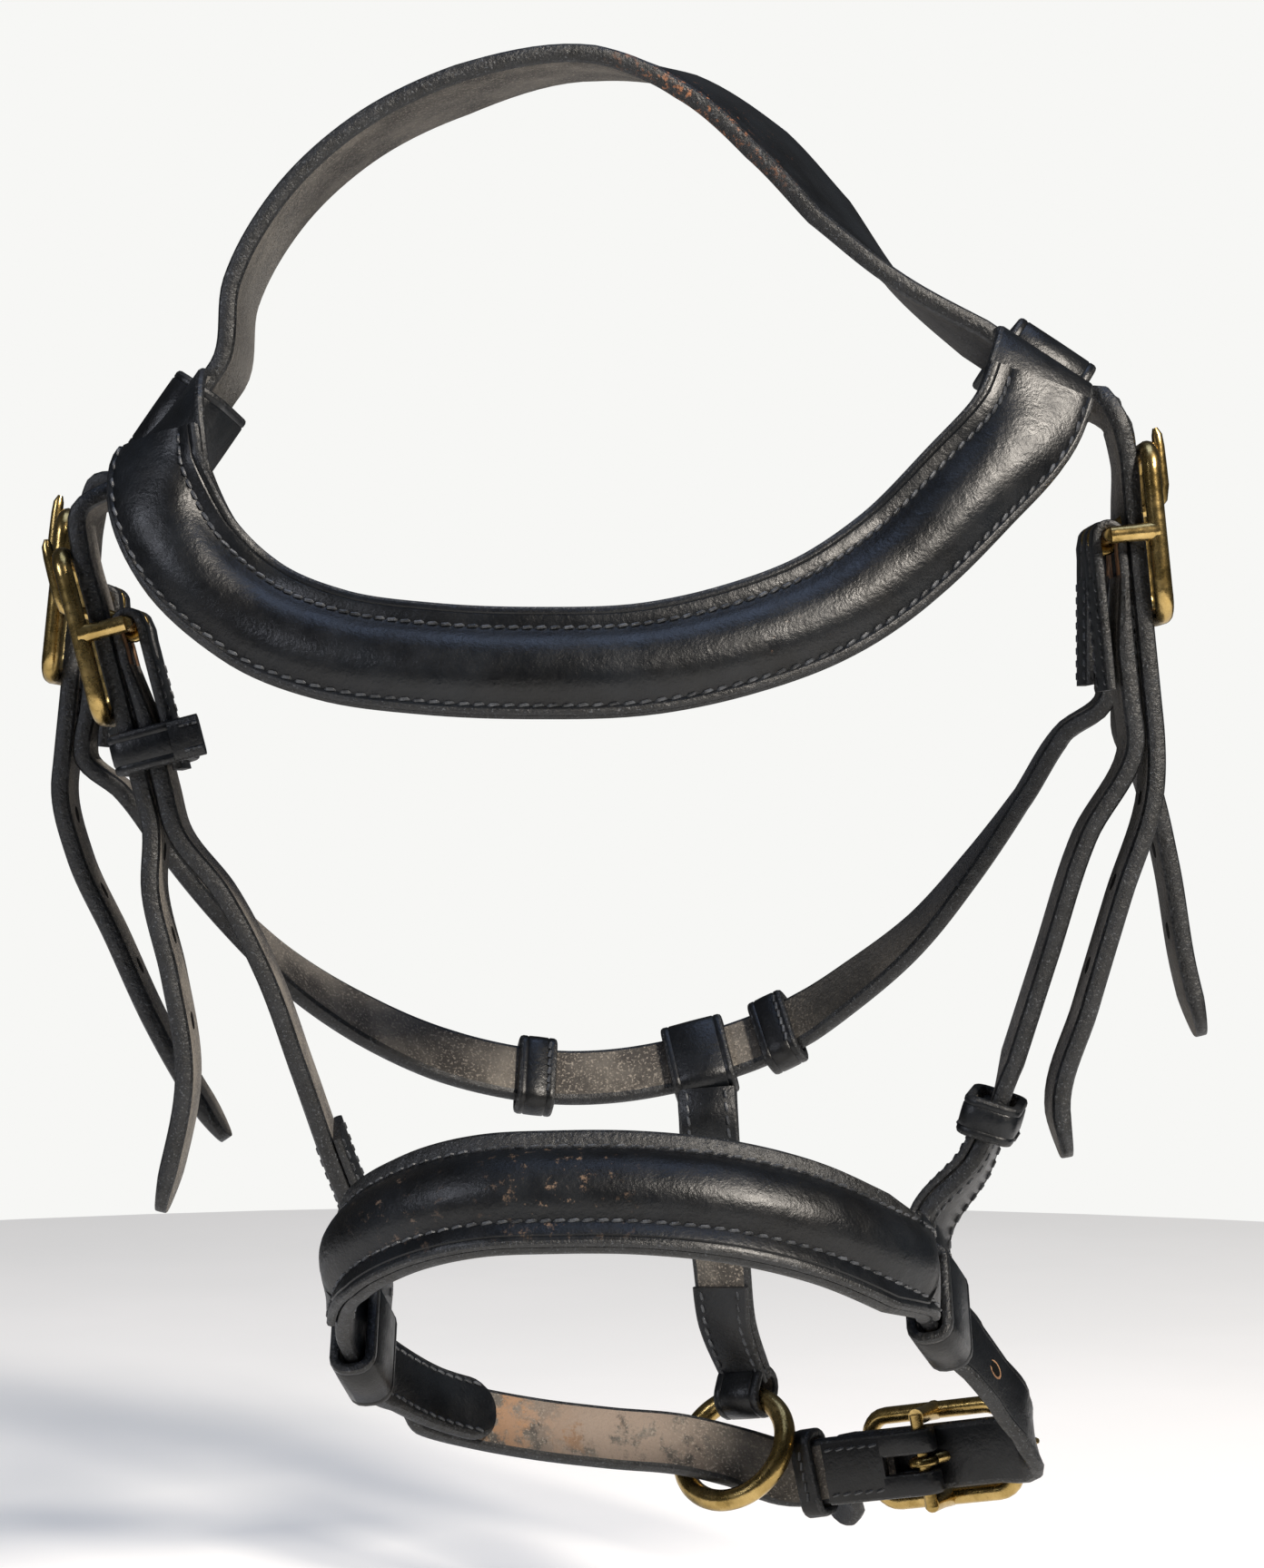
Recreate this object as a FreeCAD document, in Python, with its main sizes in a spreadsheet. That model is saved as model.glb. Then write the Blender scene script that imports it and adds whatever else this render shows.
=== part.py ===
import FreeCAD, Part
import math
import os

import Sketcher

from FreeCAD import Vector

# Leather in-hand headcollar with brass fittings, hanging by the top of its headpiece.
# The origin is on the underside of the headpiece's highest point, halfway across its width.
# +Z is up, -Y is the front of the head, and the noseband buckle is on the +X side.

os.makedirs("parts", exist_ok=True)
doc = FreeCAD.newDocument("headcollar")

# ---------------------------------------------------------------- driving dimensions (mm)

dimensions = {
    "leather": 4.0,
    "skived_leather": 2.1,
    "lining_leather": 2.4,
    "facing_leather": 1.8,
    "crown_width": 36.0,
    "point_width": 16.0,
    "cheek_width": 16.0,
    "throat_width": 14.0,
    "connector_width": 14.0,
    "back_strap_width": 15.0,
    "noseband_width": 28.0,
    "noseband_leather": 3.6,
    "browband_width": 24.0,
    "padding_width": 14.0,
    "padding_height": 2.8,
    "padding_slope": 2.1,
    "buckle_length": 40.0,
    "buckle_gap": 1.0,
    "buckle_wire": 4.0,
    "bar_thickness": 3.0,
    "lug_length": 5.0,
    "lug_inset": 0.2,
    "tongue_thickness": 2.8,
    "tongue_hole_clearance": 0.5,
    "tongue_hole_start": 2.4,
    "tongue_hole_reach": 4.0,
    "tongue_overhang": 3.0,
    "chape_length": 33.0,
    "noseband_chape_length": 24.0,
    "bar_clearance": 0.1,
    "lay_clearance": 0.3,
    "sew_inset": 0.2,
    "ring_inner": 22.0,
    "ring_wire": 5.0,
    "ring_aside": 0.5,
    "keeper_length": 9.0,
    "keeper_leather": 2.2,
    "runner_length": 9.0,
    "noseband_runner_length": 5.5,
    "noseband_runner_shift": 1.0,
    "sleeve_clearance": 0.5,
    "cheek_loop_length": 17.0,
    "browband_loop_length": 25.0,
    "browband_loop_room": 3.0,
    "browband_loop_lift": 2.2,
    "flex_radius": 22.0,
    "flex_gap": 0.3,
}
sheet = doc.addObject("Spreadsheet::Sheet", "sizes")
for row, (alias, value) in enumerate(dimensions.items(), start=1):
    sheet.set("A%d" % row, alias)
    sheet.set("B%d" % row, str(value))
    sheet.setAlias("B%d" % row, alias)
doc.recompute()


def size(alias):
    return float(getattr(sheet, alias))


leather = size("leather")
lay = size("lay_clearance")
bar_radius = size("bar_thickness") / 2
fold_radius = bar_radius + size("bar_clearance") + size("skived_leather")
billet_offset = fold_radius + lay + leather / 2
frame_offset = billet_offset + leather / 2 + lay + size("buckle_wire") / 2
nodes = []


def keep(item, name):
    item.Label = name
    nodes.append(item)
    return item


def feature(name, shape, placement=None):
    item = doc.addObject("Part::Feature", name)
    item.Shape = shape
    item.Placement = placement or FreeCAD.Placement()
    return keep(item, name)


# ---------------------------------------------------------------- frames in space


def basis(forward, out):
    """Three perpendicular unit vectors: along, across and out."""
    along = Vector(*forward).normalize()
    outward = Vector(*out)
    outward = (outward - along * outward.dot(along)).normalize()
    return along, outward.cross(along), outward


def seat(origin, axes):
    """Placement that puts local x, y, z on the along, across and out vectors."""
    along, across, out = axes
    matrix = FreeCAD.Matrix(
        along.x, across.x, out.x, origin.x,
        along.y, across.y, out.y, origin.y,
        along.z, across.z, out.z, origin.z,
        0, 0, 0, 1,
    )
    return FreeCAD.Placement(matrix)


class Buckle:
    """Place of one whole buckle: its centre bar, the way its tongue points and its outer side."""

    def __init__(self, bar, forward, out, width_alias):
        self.bar = Vector(*bar)
        self.axes = basis(forward, out)
        self.placement = seat(self.bar, self.axes)
        self.width_alias = width_alias

    def at(self, along, out, across=0.0):
        return self.placement.multVec(Vector(along, across, out))


buckles = {
    "left_cheek": Buckle((-101, -14, -124), (-0.25, 0, 0.97), (-1, 0, 0), "point_width"),
    "left_throat": Buckle((-111, 16, -117), (0.1, 0, 1), (-1, 0, 0), "point_width"),
    "right_cheek": Buckle((111, -14, -105), (-0.1, 0, 1), (1, 0, 0), "point_width"),
    "right_throat": Buckle((114, 16, -103), (0, 0, 1), (1, 0, 0), "point_width"),
    "noseband": Buckle((75, 22, -314), (0.84, -0.5, 0.2), (0.5, 0.85, 0), "back_strap_width"),
}

# ---------------------------------------------------------------- straps


def smooth(points, sides, widths, steps):
    """Stations along a smooth line through the points: place, direction, side and width."""
    gaps = [(b - a).Length for a, b in zip(points, points[1:])]
    slopes = [(points[1] - points[0]) / gaps[0]]
    for i in range(1, len(points) - 1):
        before = (points[i] - points[i - 1]) / gaps[i - 1]
        after = (points[i + 1] - points[i]) / gaps[i]
        slopes.append((before * gaps[i] + after * gaps[i - 1]) / (gaps[i] + gaps[i - 1]))
    slopes.append((points[-1] - points[-2]) / gaps[-1])
    stations = []
    for i, gap in enumerate(gaps):
        last = i == len(gaps) - 1
        for j in range(steps + 1 if last else steps):
            s = j / steps
            place = (
                points[i] * (2 * s**3 - 3 * s**2 + 1)
                + slopes[i] * gap * (s**3 - 2 * s**2 + s)
                + points[i + 1] * (3 * s**2 - 2 * s**3)
                + slopes[i + 1] * gap * (s**3 - s**2)
            )
            direction = (
                points[i] * (6 * s**2 - 6 * s)
                + slopes[i] * gap * (3 * s**2 - 4 * s + 1)
                + points[i + 1] * (6 * s - 6 * s**2)
                + slopes[i + 1] * gap * (3 * s**2 - 2 * s)
            ).normalize()
            side = sides[i] * (1 - s) + sides[i + 1] * s
            side = (side - direction * side.dot(direction)).normalize()
            width = widths[i] * (1 - s) + widths[i + 1] * s
            stations.append((place, direction, side, width))
    return stations


def loft(stations, outline):
    """Closed solid whose section at each station is outline(width): pairs of side and face distance."""
    wires = []
    for place, direction, side, width in stations:
        face = direction.cross(side)
        corners = [place + side * across + face * depth for across, depth in outline(width)]
        wires.append(Part.makePolygon(corners + corners[:1]))
    return Part.makeLoft(wires, True, False)


def flat(thickness, offset=0.0):
    """Rectangular section, its middle moved by offset along the face direction."""

    def outline(width):
        half = width / 2
        low = offset - thickness / 2
        high = offset + thickness / 2
        return [(-half, low), (half, low), (half, high), (-half, high)]

    return outline


def vectors(points):
    return [point if isinstance(point, Vector) else Vector(*point) for point in points]


def even(count, side):
    return [Vector(*side)] * count


def strap(points, sides, widths, thickness, steps=3):
    stations = smooth(vectors(points), vectors(sides), widths, steps)
    return loft(stations, flat(thickness)), stations


def sleeve(place, axes, length, room_across, room_out, wall):
    """Flat tube of leather: its opening runs along the first axis."""
    outer = Part.makeBox(length, room_across + 2 * wall, room_out + 2 * wall)
    outer.translate(Vector(-length / 2, -room_across / 2 - wall, -room_out / 2 - wall))
    outer = outer.makeFillet(wall * 0.6, [e for e in outer.Edges if abs(e.tangentAt(0).x) > 0.99])
    inner = Part.makeBox(3 * length, room_across, room_out)
    inner.translate(Vector(-1.5 * length, -room_across / 2, -room_out / 2))
    tube = outer.cut(inner)
    tube.Placement = seat(place, axes)
    return tube


def chape(buckle, width, length):
    """Folded end of a strap round a buckle's bar, bored for the bar and slotted for the tongue."""
    plate = Part.makeBox(length, width, 2 * fold_radius, Vector(-length, -width / 2, -fold_radius))
    turn = Part.makeCylinder(fold_radius, width, Vector(0, -width / 2, 0), Vector(0, 1, 0))
    bore_radius = bar_radius + size("bar_clearance")
    bore = Part.makeCylinder(bore_radius, 2 * width, Vector(0, -width, 0), Vector(0, 1, 0))
    slot_width = size("tongue_thickness") + 2 * size("tongue_hole_clearance")
    slot = Part.makeBox(4 * fold_radius, slot_width, 4 * fold_radius)
    slot.translate(Vector(-2 * fold_radius, -slot_width / 2, -2 * fold_radius))
    body = plate.fuse(turn).cut(bore).cut(slot)
    body.Placement = buckle.placement
    return body


def billet_hole(buckle):
    """Oval punched hole that lets the tongue through the billet."""
    radius = size("tongue_thickness") / 2 + size("tongue_hole_clearance")
    start = size("tongue_hole_start")
    reach = size("tongue_hole_reach")
    low = billet_offset - leather
    hole = Part.makeBox(reach, 2 * radius, 2 * leather, Vector(start, -radius, low))
    for end in (start, start + reach):
        hole = hole.fuse(Part.makeCylinder(radius, 2 * leather, Vector(end, 0, low)))
    hole.Placement = buckle.placement
    return hole


# ---------------------------------------------------------------- headpiece

left_fork = (-90, -79)
right_fork = (96, -67)
left_along = Vector(0.57, 0, 0.82)
right_along = Vector(-0.83, 0, 0.55)
fork_run = 11
flex_axis = Vector(right_fork[0] - left_fork[0], 0, right_fork[1] - left_fork[1]).normalize()
flex_start = Vector(left_fork[0], 0, left_fork[1])


def flex_cylinder(radius):
    """Round seat of the stretch where the headpiece bends, about the line through both forks."""
    return Part.makeCylinder(radius, 400, flex_start - flex_axis * 100, flex_axis)


def flex_half(upper):
    """Large block above or below the bend line."""
    block = Part.makeBox(500, 400, 400, Vector(-250, -200, 0 if upper else -400))
    tilt = math.degrees(math.atan2(flex_axis.z, flex_axis.x))
    block.rotate(Vector(0, 0, 0), Vector(0, 1, 0), -tilt)
    block.translate(flex_start)
    return block


def fork_ends(fork, along, lane=0.0):
    """Straight stretch of the headpiece through a browband loop, from its upper to its lower end."""
    middle = Vector(fork[0], lane, fork[1])
    return [middle + along * run for run in (fork_run + 3, fork_run, -fork_run, -fork_run - 3)]


crown_line = fork_ends(left_fork, left_along)[::-1]
crown_line += vectors([(-79, 0, -49), (-69, 0, -31), (-52, 0, -15), (-30, 0, -4), (0, 0, 2)])
crown_line += vectors([(20, 0, -3), (38, 0, -16), (52, 0, -31), (66, 0, -46)])
crown_line += fork_ends(right_fork, right_along)
crown_width = size("crown_width")
crown_shape, crown_stations = strap(
    crown_line, even(len(crown_line), (0, 1, 0)), [crown_width] * len(crown_line), leather
)
cut_away = flex_cylinder(size("flex_radius") + size("flex_gap")).fuse(flex_half(False))
feature("crown_strap", crown_shape.cut(cut_away))


def headpiece_point(name, buckle, fork, along, flare, hang, lane_side):
    """One of the four split ends of the headpiece, from the bend down through its buckle to the tip."""
    full = crown_width / 2 - 2 * size("flex_gap")
    start = fork_ends(fork, along, lane_side * crown_width / 4)
    entry = [buckle.at(26, billet_offset - 1.6), buckle.at(18, billet_offset)]
    inside = entry + [buckle.at(run, billet_offset) for run in (8, -8, -30)]
    inside += [buckle.at(-38, billet_offset + 0.6), buckle.at(-42, billet_offset + 1.0)]
    points = start + vectors(flare) + inside + vectors(hang)
    point_width = size("point_width")
    widths = [full] * 3 + [point_width] * (len(points) - 4) + [point_width * 0.55]
    shape, _ = strap(points, even(len(points), (0, 1, 0)), widths, leather)
    above = flex_half(True).cut(flex_cylinder(size("flex_radius")))
    feature(name, shape.cut(above).cut(billet_hole(buckle)))


headpiece_point(
    "left_cheek_point", buckles["left_cheek"], left_fork, left_along, [(-104, -11.5, -94)],
    [(-96, -15, -182), (-92, -14, -200), (-89, -13, -222), (-93, -12, -244), (-95, -12, -252)], -1,
)
headpiece_point(
    "left_throat_point", buckles["left_throat"], left_fork, left_along, [(-106, 14, -90)],
    [(-118, 18, -175), (-110, 20, -193), (-101, 21, -213), (-89, 22, -234), (-85, 22, -240)], 1,
)
headpiece_point(
    "right_cheek_point", buckles["right_cheek"], right_fork, right_along, [(111, -11.5, -76)],
    [(121, -15, -160), (114, -15, -183), (107, -14, -207), (101, -13, -229), (103, -13, -240)], -1,
)
headpiece_point(
    "right_throat_point", buckles["right_throat"], right_fork, right_along, [(114, 14, -74)],
    [(125, 17, -157), (130, 18, -177), (134, 19, -200), (138, 19, -216)], 1,
)

# ---------------------------------------------------------------- padded bands


def raised(shift, backing):
    """Outer leather of a padded band: two flanges and a raised middle over the padding."""
    foot = size("padding_width") / 2 + 0.6
    brow = foot - size("padding_slope")
    base = backing / 2 + size("sew_inset") / 4
    top = base + size("padding_height")
    skin = size("facing_leather")

    def outline(width):
        half = width / 2
        under = [(-half, base), (shift - foot, base), (shift - brow, top)]
        under += [(shift + brow, top), (shift + foot, base), (half, base)]
        over = [(half, base + skin), (shift + foot + skin * 0.8, base + skin)]
        over += [(shift + brow + skin * 0.4, top + skin), (shift - brow - skin * 0.4, top + skin)]
        over += [(shift - foot - skin * 0.8, base + skin), (-half, base + skin)]
        return under + over

    return outline


def filler(shift, backing):
    """Section of the padding that lies between the lining and the raised leather."""
    half_pad = size("padding_width") / 2
    base = backing / 2 + size("sew_inset") / 2
    top = base + size("padding_height") - size("sew_inset")

    def outline(width):
        low = half_pad - 0.3
        high = half_pad - 2.0
        return [(shift - low, base), (shift + low, base), (shift + high, top), (shift - high, top)]

    return outline


def padded(name, stations, shift, backing):
    feature(name + "_facing", loft(stations, raised(shift, backing)))
    feature(name + "_padding", loft(stations[1:-1], filler(shift, backing)))


# ---------------------------------------------------------------- browband

loop_room = crown_width + 2 * size("browband_loop_room")
loop_depth = leather + 2 * size("browband_loop_lift")
loop_wall = size("lining_leather")
front_wall = -(loop_room + loop_wall) / 2
brow_line = [
    (left_fork[0], front_wall, left_fork[1]), (-90, -29, -80), (-91.5, -37.5, -94), (-85, -42, -110),
    (-71, -45, -123), (-54, -50, -130), (-34, -54, -133), (-12, -56, -134), (12, -56, -133),
    (30, -54, -129), (48, -50, -122), (64, -45, -111), (78, -41, -97), (91, -37, -82),
    (96, -29, -68), (right_fork[0], front_wall, right_fork[1]),
]
brow_up = Vector(0, 0.35, 0.94)
brow_sides = [left_along] * 3 + [left_along * 0.5 + brow_up * 0.5] + [brow_up] * 8
brow_sides += [right_along * 0.5 + brow_up * 0.5] + [right_along] * 3
brow_widths = [size("browband_width")] * len(brow_line)
brow_shape, brow_stations = strap(brow_line, brow_sides, brow_widths, size("lining_leather"))
for fork, along, out in ((left_fork, left_along, (-1, 0, 0)), (right_fork, right_along, (1, 0, 0))):
    loop = sleeve(
        Vector(fork[0], 0, fork[1]), basis(along, out), size("browband_loop_length"),
        loop_room, loop_depth, loop_wall,
    )
    brow_shape = brow_shape.fuse(loop)
feature("browband_lining", brow_shape)
padded("browband", brow_stations[8:-8], -1.6, size("lining_leather"))

# ---------------------------------------------------------------- noseband

nose_up = Vector(0, 0.59, 0.81)
nose_buckle = buckles["noseband"]
nose_across = nose_buckle.axes[1] * -1
left_loop = Vector(-51, -9, -281)
right_loop = Vector(75, -12, -273)
left_run = Vector(-0.2, -0.77, 0.61)
right_run = Vector(0.37, 0.77, -0.55)
nose_front = [
    (-53, -28, -264), (-49, -38, -255), (-39, -47, -248), (-23, -55, -243), (-8, -57, -242),
    (10, -58, -242), (28, -57, -244), (46, -52, -249), (60, -43, -256), (69, -31, -262),
]
back_width = size("back_strap_width")
loop_width = back_width + 3
full_width = size("noseband_width")
nose_line = [(-24, 27, -304), (-27, 25, -303), (-36, 18, -299), (-45, 7, -292)]
nose_line += [left_loop + left_run * run for run in (-11, -8, 8, 11)] + nose_front
nose_line += [right_loop + right_run * run for run in (-11, -8, 8, 11)]
nose_line += [(84, -0.5, -285), (90, 4, -293), (95.5, 8, -301), nose_buckle.at(24, billet_offset - 2)]
nose_line += [nose_buckle.at(along, billet_offset) for along in (16, 8, -8, -18, -22)]
nose_line += [nose_buckle.at(-29, billet_offset + 3, 5), nose_buckle.at(-33, billet_offset + 4.5, 9)]
nose_widths = [back_width * 0.6, back_width, back_width, back_width + 1] + [loop_width] * 4
nose_widths += [loop_width + 4] + [full_width] * 8 + [loop_width + 4] + [loop_width] * 4
nose_widths += [back_width + 1] + [back_width] * 9 + [back_width * 0.6]
nose_sides = [nose_up] * 24 + [nose_up * 0.4 + nose_across * 0.6] + [nose_across] * 8
nose_shape, nose_stations = strap(nose_line, nose_sides, nose_widths, size("noseband_leather"))
feature("noseband_strap", nose_shape.cut(billet_hole(nose_buckle)))
padded("noseband", nose_stations[23:49], 0.0, size("noseband_leather"))

# ---------------------------------------------------------------- noseband buckle strap


def nearest(stations, place):
    return min(stations, key=lambda station: (station[0] - Vector(*place)).Length)


chape_inset = fold_radius - leather / 2 - size("sew_inset")
back_line = [
    (-44, 14.7, -297.2), (-39.2, 20.4, -300.8), (-29.7, 28, -305), (-15, 34, -309), (3, 38, -312),
    (20, 40, -314), (32, 41, -317), nose_buckle.at(-36, chape_inset), nose_buckle.at(-24, chape_inset),
]
back_shape, back_stations = strap(
    back_line, even(len(back_line) - 2, nose_up) + [nose_across] * 2,
    [back_width - 2 * size("sew_inset")] * len(back_line), leather,
)
back_shape = back_shape.fuse(chape(nose_buckle, back_width, size("noseband_chape_length")))
feature("noseband_back_strap", back_shape)

# ---------------------------------------------------------------- cheekpieces


def cheekpiece(name, buckle, route, loop_place, loop_run, out):
    """Chape at the top, one strap, and a sewn loop round the noseband at the bottom."""
    room = loop_width + 2 * size("sleeve_clearance")
    wall = size("lining_leather")
    axes = basis(loop_run, out)
    across = axes[1] if axes[1].z > 0 else axes[1] * -1
    bottom = [loop_place + across * (room / 2 + reach * wall) for reach in (3.8, 0.75)]
    top = [buckle.at(run, chape_inset) for run in (-24, -36, -45)]
    points = top + vectors(route) + bottom
    run = loop_run if loop_run.y > 0 else loop_run * -1
    turning = [Vector(0, 1, 0)] * (len(points) - 3) + [Vector(0, 1, 0) + run] + [run] * 2
    width = size("cheek_width") - 2 * size("sew_inset")
    shape, stations = strap(points, turning, [width] * len(points), leather)
    depth = size("noseband_leather") + 4 * size("sleeve_clearance")
    loop = sleeve(loop_place, axes, size("cheek_loop_length"), room, depth, wall)
    feature(name, shape.fuse(chape(buckle, size("cheek_width"), size("chape_length"))).fuse(loop))
    return stations


cheekpiece(
    "left_cheekpiece", buckles["left_cheek"],
    [(-81, -13, -182), (-72, -10, -200), (-65, -5, -221), (-59, 0, -240), (-54, 3.6, -255)],
    left_loop, left_run, (-1, 0, 0),
)
right_cheek_stations = cheekpiece(
    "right_cheekpiece", buckles["right_cheek"],
    [(107, -12, -170), (99, -9, -196), (92, -6.5, -219), (85, -4, -242)],
    right_loop, right_run, (1, 0, 0),
)

# ---------------------------------------------------------------- throat strap

throat_up = Vector(0, 0.6, 0.8)
throat_line = [buckles["left_throat"].at(run, chape_inset) for run in (-24, -36)]
throat_line += [(-108, 18, -160), (-98, 22, -174), (-86, 26, -188), (-71, 33, -203), (-55, 39, -214)]
throat_line += [(-36, 45, -223), (-21, 48, -227), (-15, 49, -228), (-9, 49.5, -228.5), (5, 50, -228)]
throat_line += [(14, 50, -226.6), (17, 50, -226), (33, 49.4, -221.6), (36, 49.2, -220.5), (49, 46.5, -214)]
throat_line += [(60, 42, -206), (74, 37, -194), (87, 32, -178), (98, 27, -162), (107, 22, -147)]
throat_line += [buckles["right_throat"].at(run, chape_inset) for run in (-36, -24)]
throat_sides = [Vector(0, 1, 0)] * 4 + [Vector(0, 1, 0.3), Vector(0, 0.8, 0.5), Vector(0, 0.7, 0.7)]
throat_sides += [throat_up] * 10
throat_sides += [Vector(0, 0.7, 0.7), Vector(0, 0.8, 0.5), Vector(0, 1, 0.3)] + [Vector(0, 1, 0)] * 4
throat_width = size("throat_width")
throat_narrowed = [throat_width - 2 * size("sew_inset")] * len(throat_line)
throat_stations = smooth(vectors(throat_line), throat_sides, throat_narrowed, 3)
throat_middle = len(throat_stations) // 2
throat_halves = []
for name, stations in (
    ("left_throat", throat_stations[:throat_middle + 1]), ("right_throat", throat_stations[throat_middle:]),
):
    fold_end = chape(buckles[name], size("point_width"), size("chape_length"))
    throat_halves.append(loft(stations, flat(leather)).fuse(fold_end))
throat_shape = throat_halves[0].fuse(throat_halves[1])
feature("throat_strap", throat_shape)

# ---------------------------------------------------------------- lead ring and connector strap

ring_turn = math.radians(46)
ring_shift = 1.0
ring_radius = (size("ring_inner") + size("ring_wire")) / 2
ring_drop = 1.8
place, run, up, _ = nearest(back_stations, (34, 41, -317))
outward = run.cross(up) if run.cross(up).y > 0 else up.cross(run)
ring_axis = outward * math.cos(ring_turn) + run * math.sin(ring_turn)
ring_right = run * math.cos(ring_turn) - outward * math.sin(ring_turn)
ring_middle = place + up * ring_drop - outward * ring_shift
ring = doc.addObject("Part::Torus", "lead_ring")
ring.setExpression("Radius1", "(sizes.ring_inner + sizes.ring_wire) / 2")
ring.setExpression("Radius2", "sizes.ring_wire / 2")
ring_play = Vector(-size("ring_aside"), 0, 0)
ring.Placement = seat(ring_middle + ring_play, (ring_right, ring_axis.cross(ring_right), ring_axis))
keep(ring, "lead_ring")

fold_width = 12.0
fold_room = size("ring_wire") / 2 + size("lay_clearance")
fold_low = fold_room + 2.0
fold_wall = size("skived_leather") + size("lay_clearance")
fold_high = fold_room + leather + 0.4
block = Part.makeBox(fold_width, 2 * (fold_room + fold_wall), fold_low + fold_wall + fold_high)
block.translate(Vector(-fold_width / 2, -fold_room - fold_wall, -fold_low - fold_wall))
room = Part.makeBox(3 * fold_width, 2 * fold_room, fold_low + fold_room)
room.translate(Vector(-1.5 * fold_width, -fold_room, -fold_low))
fold = block.cut(room)
fold_place = ring_middle + up * ring_radius
fold.Placement = seat(fold_place, (ring_right, up.cross(ring_right), up))

top_place, top_run, top_up, _ = nearest(throat_stations, (25, 50, -224))
top_out = top_up.cross(top_run)
top_room = throat_width + 2 * size("sleeve_clearance")
top_wall = size("lining_leather")
connector_width = size("connector_width")
top_loop = sleeve(
    top_place, (top_run, top_out.cross(top_run), top_out), connector_width + 1,
    top_room, leather + 3 * size("sleeve_clearance"), top_wall,
)
connector_line = [
    top_place - top_up * (top_room / 2 + 0.75 * top_wall), Vector(26, 42, -236), Vector(27, 43, -252),
    Vector(29, 45, -270), Vector(31, 47, -286), fold_place + up * (fold_high - 1.6),
]
connector_sides = [top_run] * 2 + [Vector(1, 0, 0)] + [ring_right + top_run] + [ring_right] * 2
connector_widths = [connector_width] * 5 + [fold_width - 0.6]
connector_shape, _ = strap(connector_line, connector_sides, connector_widths, leather - 0.6)
feature("connector_strap", connector_shape.fuse(top_loop).fuse(fold))

# ---------------------------------------------------------------- keepers, runners and buckles


def plane(body, role):
    return [item for item in body.Origin.OriginFeatures if item.Role == role][0]


def rectangle(sketch, first, second):
    """Rectangle centred on the sketch's origin, its two sizes bound to expressions."""
    corners = [(-1, -1), (1, -1), (1, 1), (-1, 1)]
    start = sketch.GeometryCount
    for a, b in zip(corners, corners[1:] + corners[:1]):
        sketch.addGeometry(Part.LineSegment(Vector(*a, 0), Vector(*b, 0)), False)
    for i in range(4):
        sketch.addConstraint(Sketcher.Constraint("Coincident", start + i, 2, start + (i + 1) % 4, 1))
    for i in (0, 2):
        sketch.addConstraint(Sketcher.Constraint("Horizontal", start + i))
        sketch.addConstraint(Sketcher.Constraint("Vertical", start + i + 1))
    sketch.addConstraint(Sketcher.Constraint("Symmetric", start, 1, start + 1, 2, -1, 1))
    for kind, line, expression in (("DistanceX", start, first), ("DistanceY", start + 1, second)):
        index = sketch.addConstraint(Sketcher.Constraint(kind, line, 1, line, 2, 2.0))
        sketch.setExpression("Constraints[%d]" % index, expression)


def hollow(name, outer, inner, depth, corner):
    """Body with a rectangular frame padded evenly about its XY plane and rounded at its corners."""
    body = doc.addObject("PartDesign::Body", name)
    sketch = body.newObject("Sketcher::SketchObject", name + "_outline")
    sketch.AttachmentSupport = [(plane(body, "XY_Plane"), "")]
    sketch.MapMode = "FlatFace"
    rectangle(sketch, *outer)
    rectangle(sketch, *inner)
    pad = body.newObject("PartDesign::Pad", name + "_pad")
    pad.Profile = sketch
    pad.setExpression("Length", depth)
    pad.Midplane = True
    doc.recompute()
    upright = [
        (abs(edge.CenterOfMass.x) + abs(edge.CenterOfMass.y), "Edge%d" % i)
        for i, edge in enumerate(pad.Shape.Edges, start=1)
        if abs(edge.tangentAt(edge.FirstParameter).z) > 0.99
    ]
    outer_edges = [edge for _, edge in sorted(upright)[4:]]
    rounding = body.newObject("PartDesign::Fillet", name + "_rounding")
    rounding.Base = (pad, outer_edges)
    rounding.setExpression("Radius", corner)
    body.Tip = rounding
    doc.recompute()
    return body


bar_drop = (
    "(sizes.bar_thickness / 2 + sizes.bar_clearance + sizes.skived_leather"
    " + sizes.leather + 2 * sizes.lay_clearance + sizes.buckle_wire / 2)"
)


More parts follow.
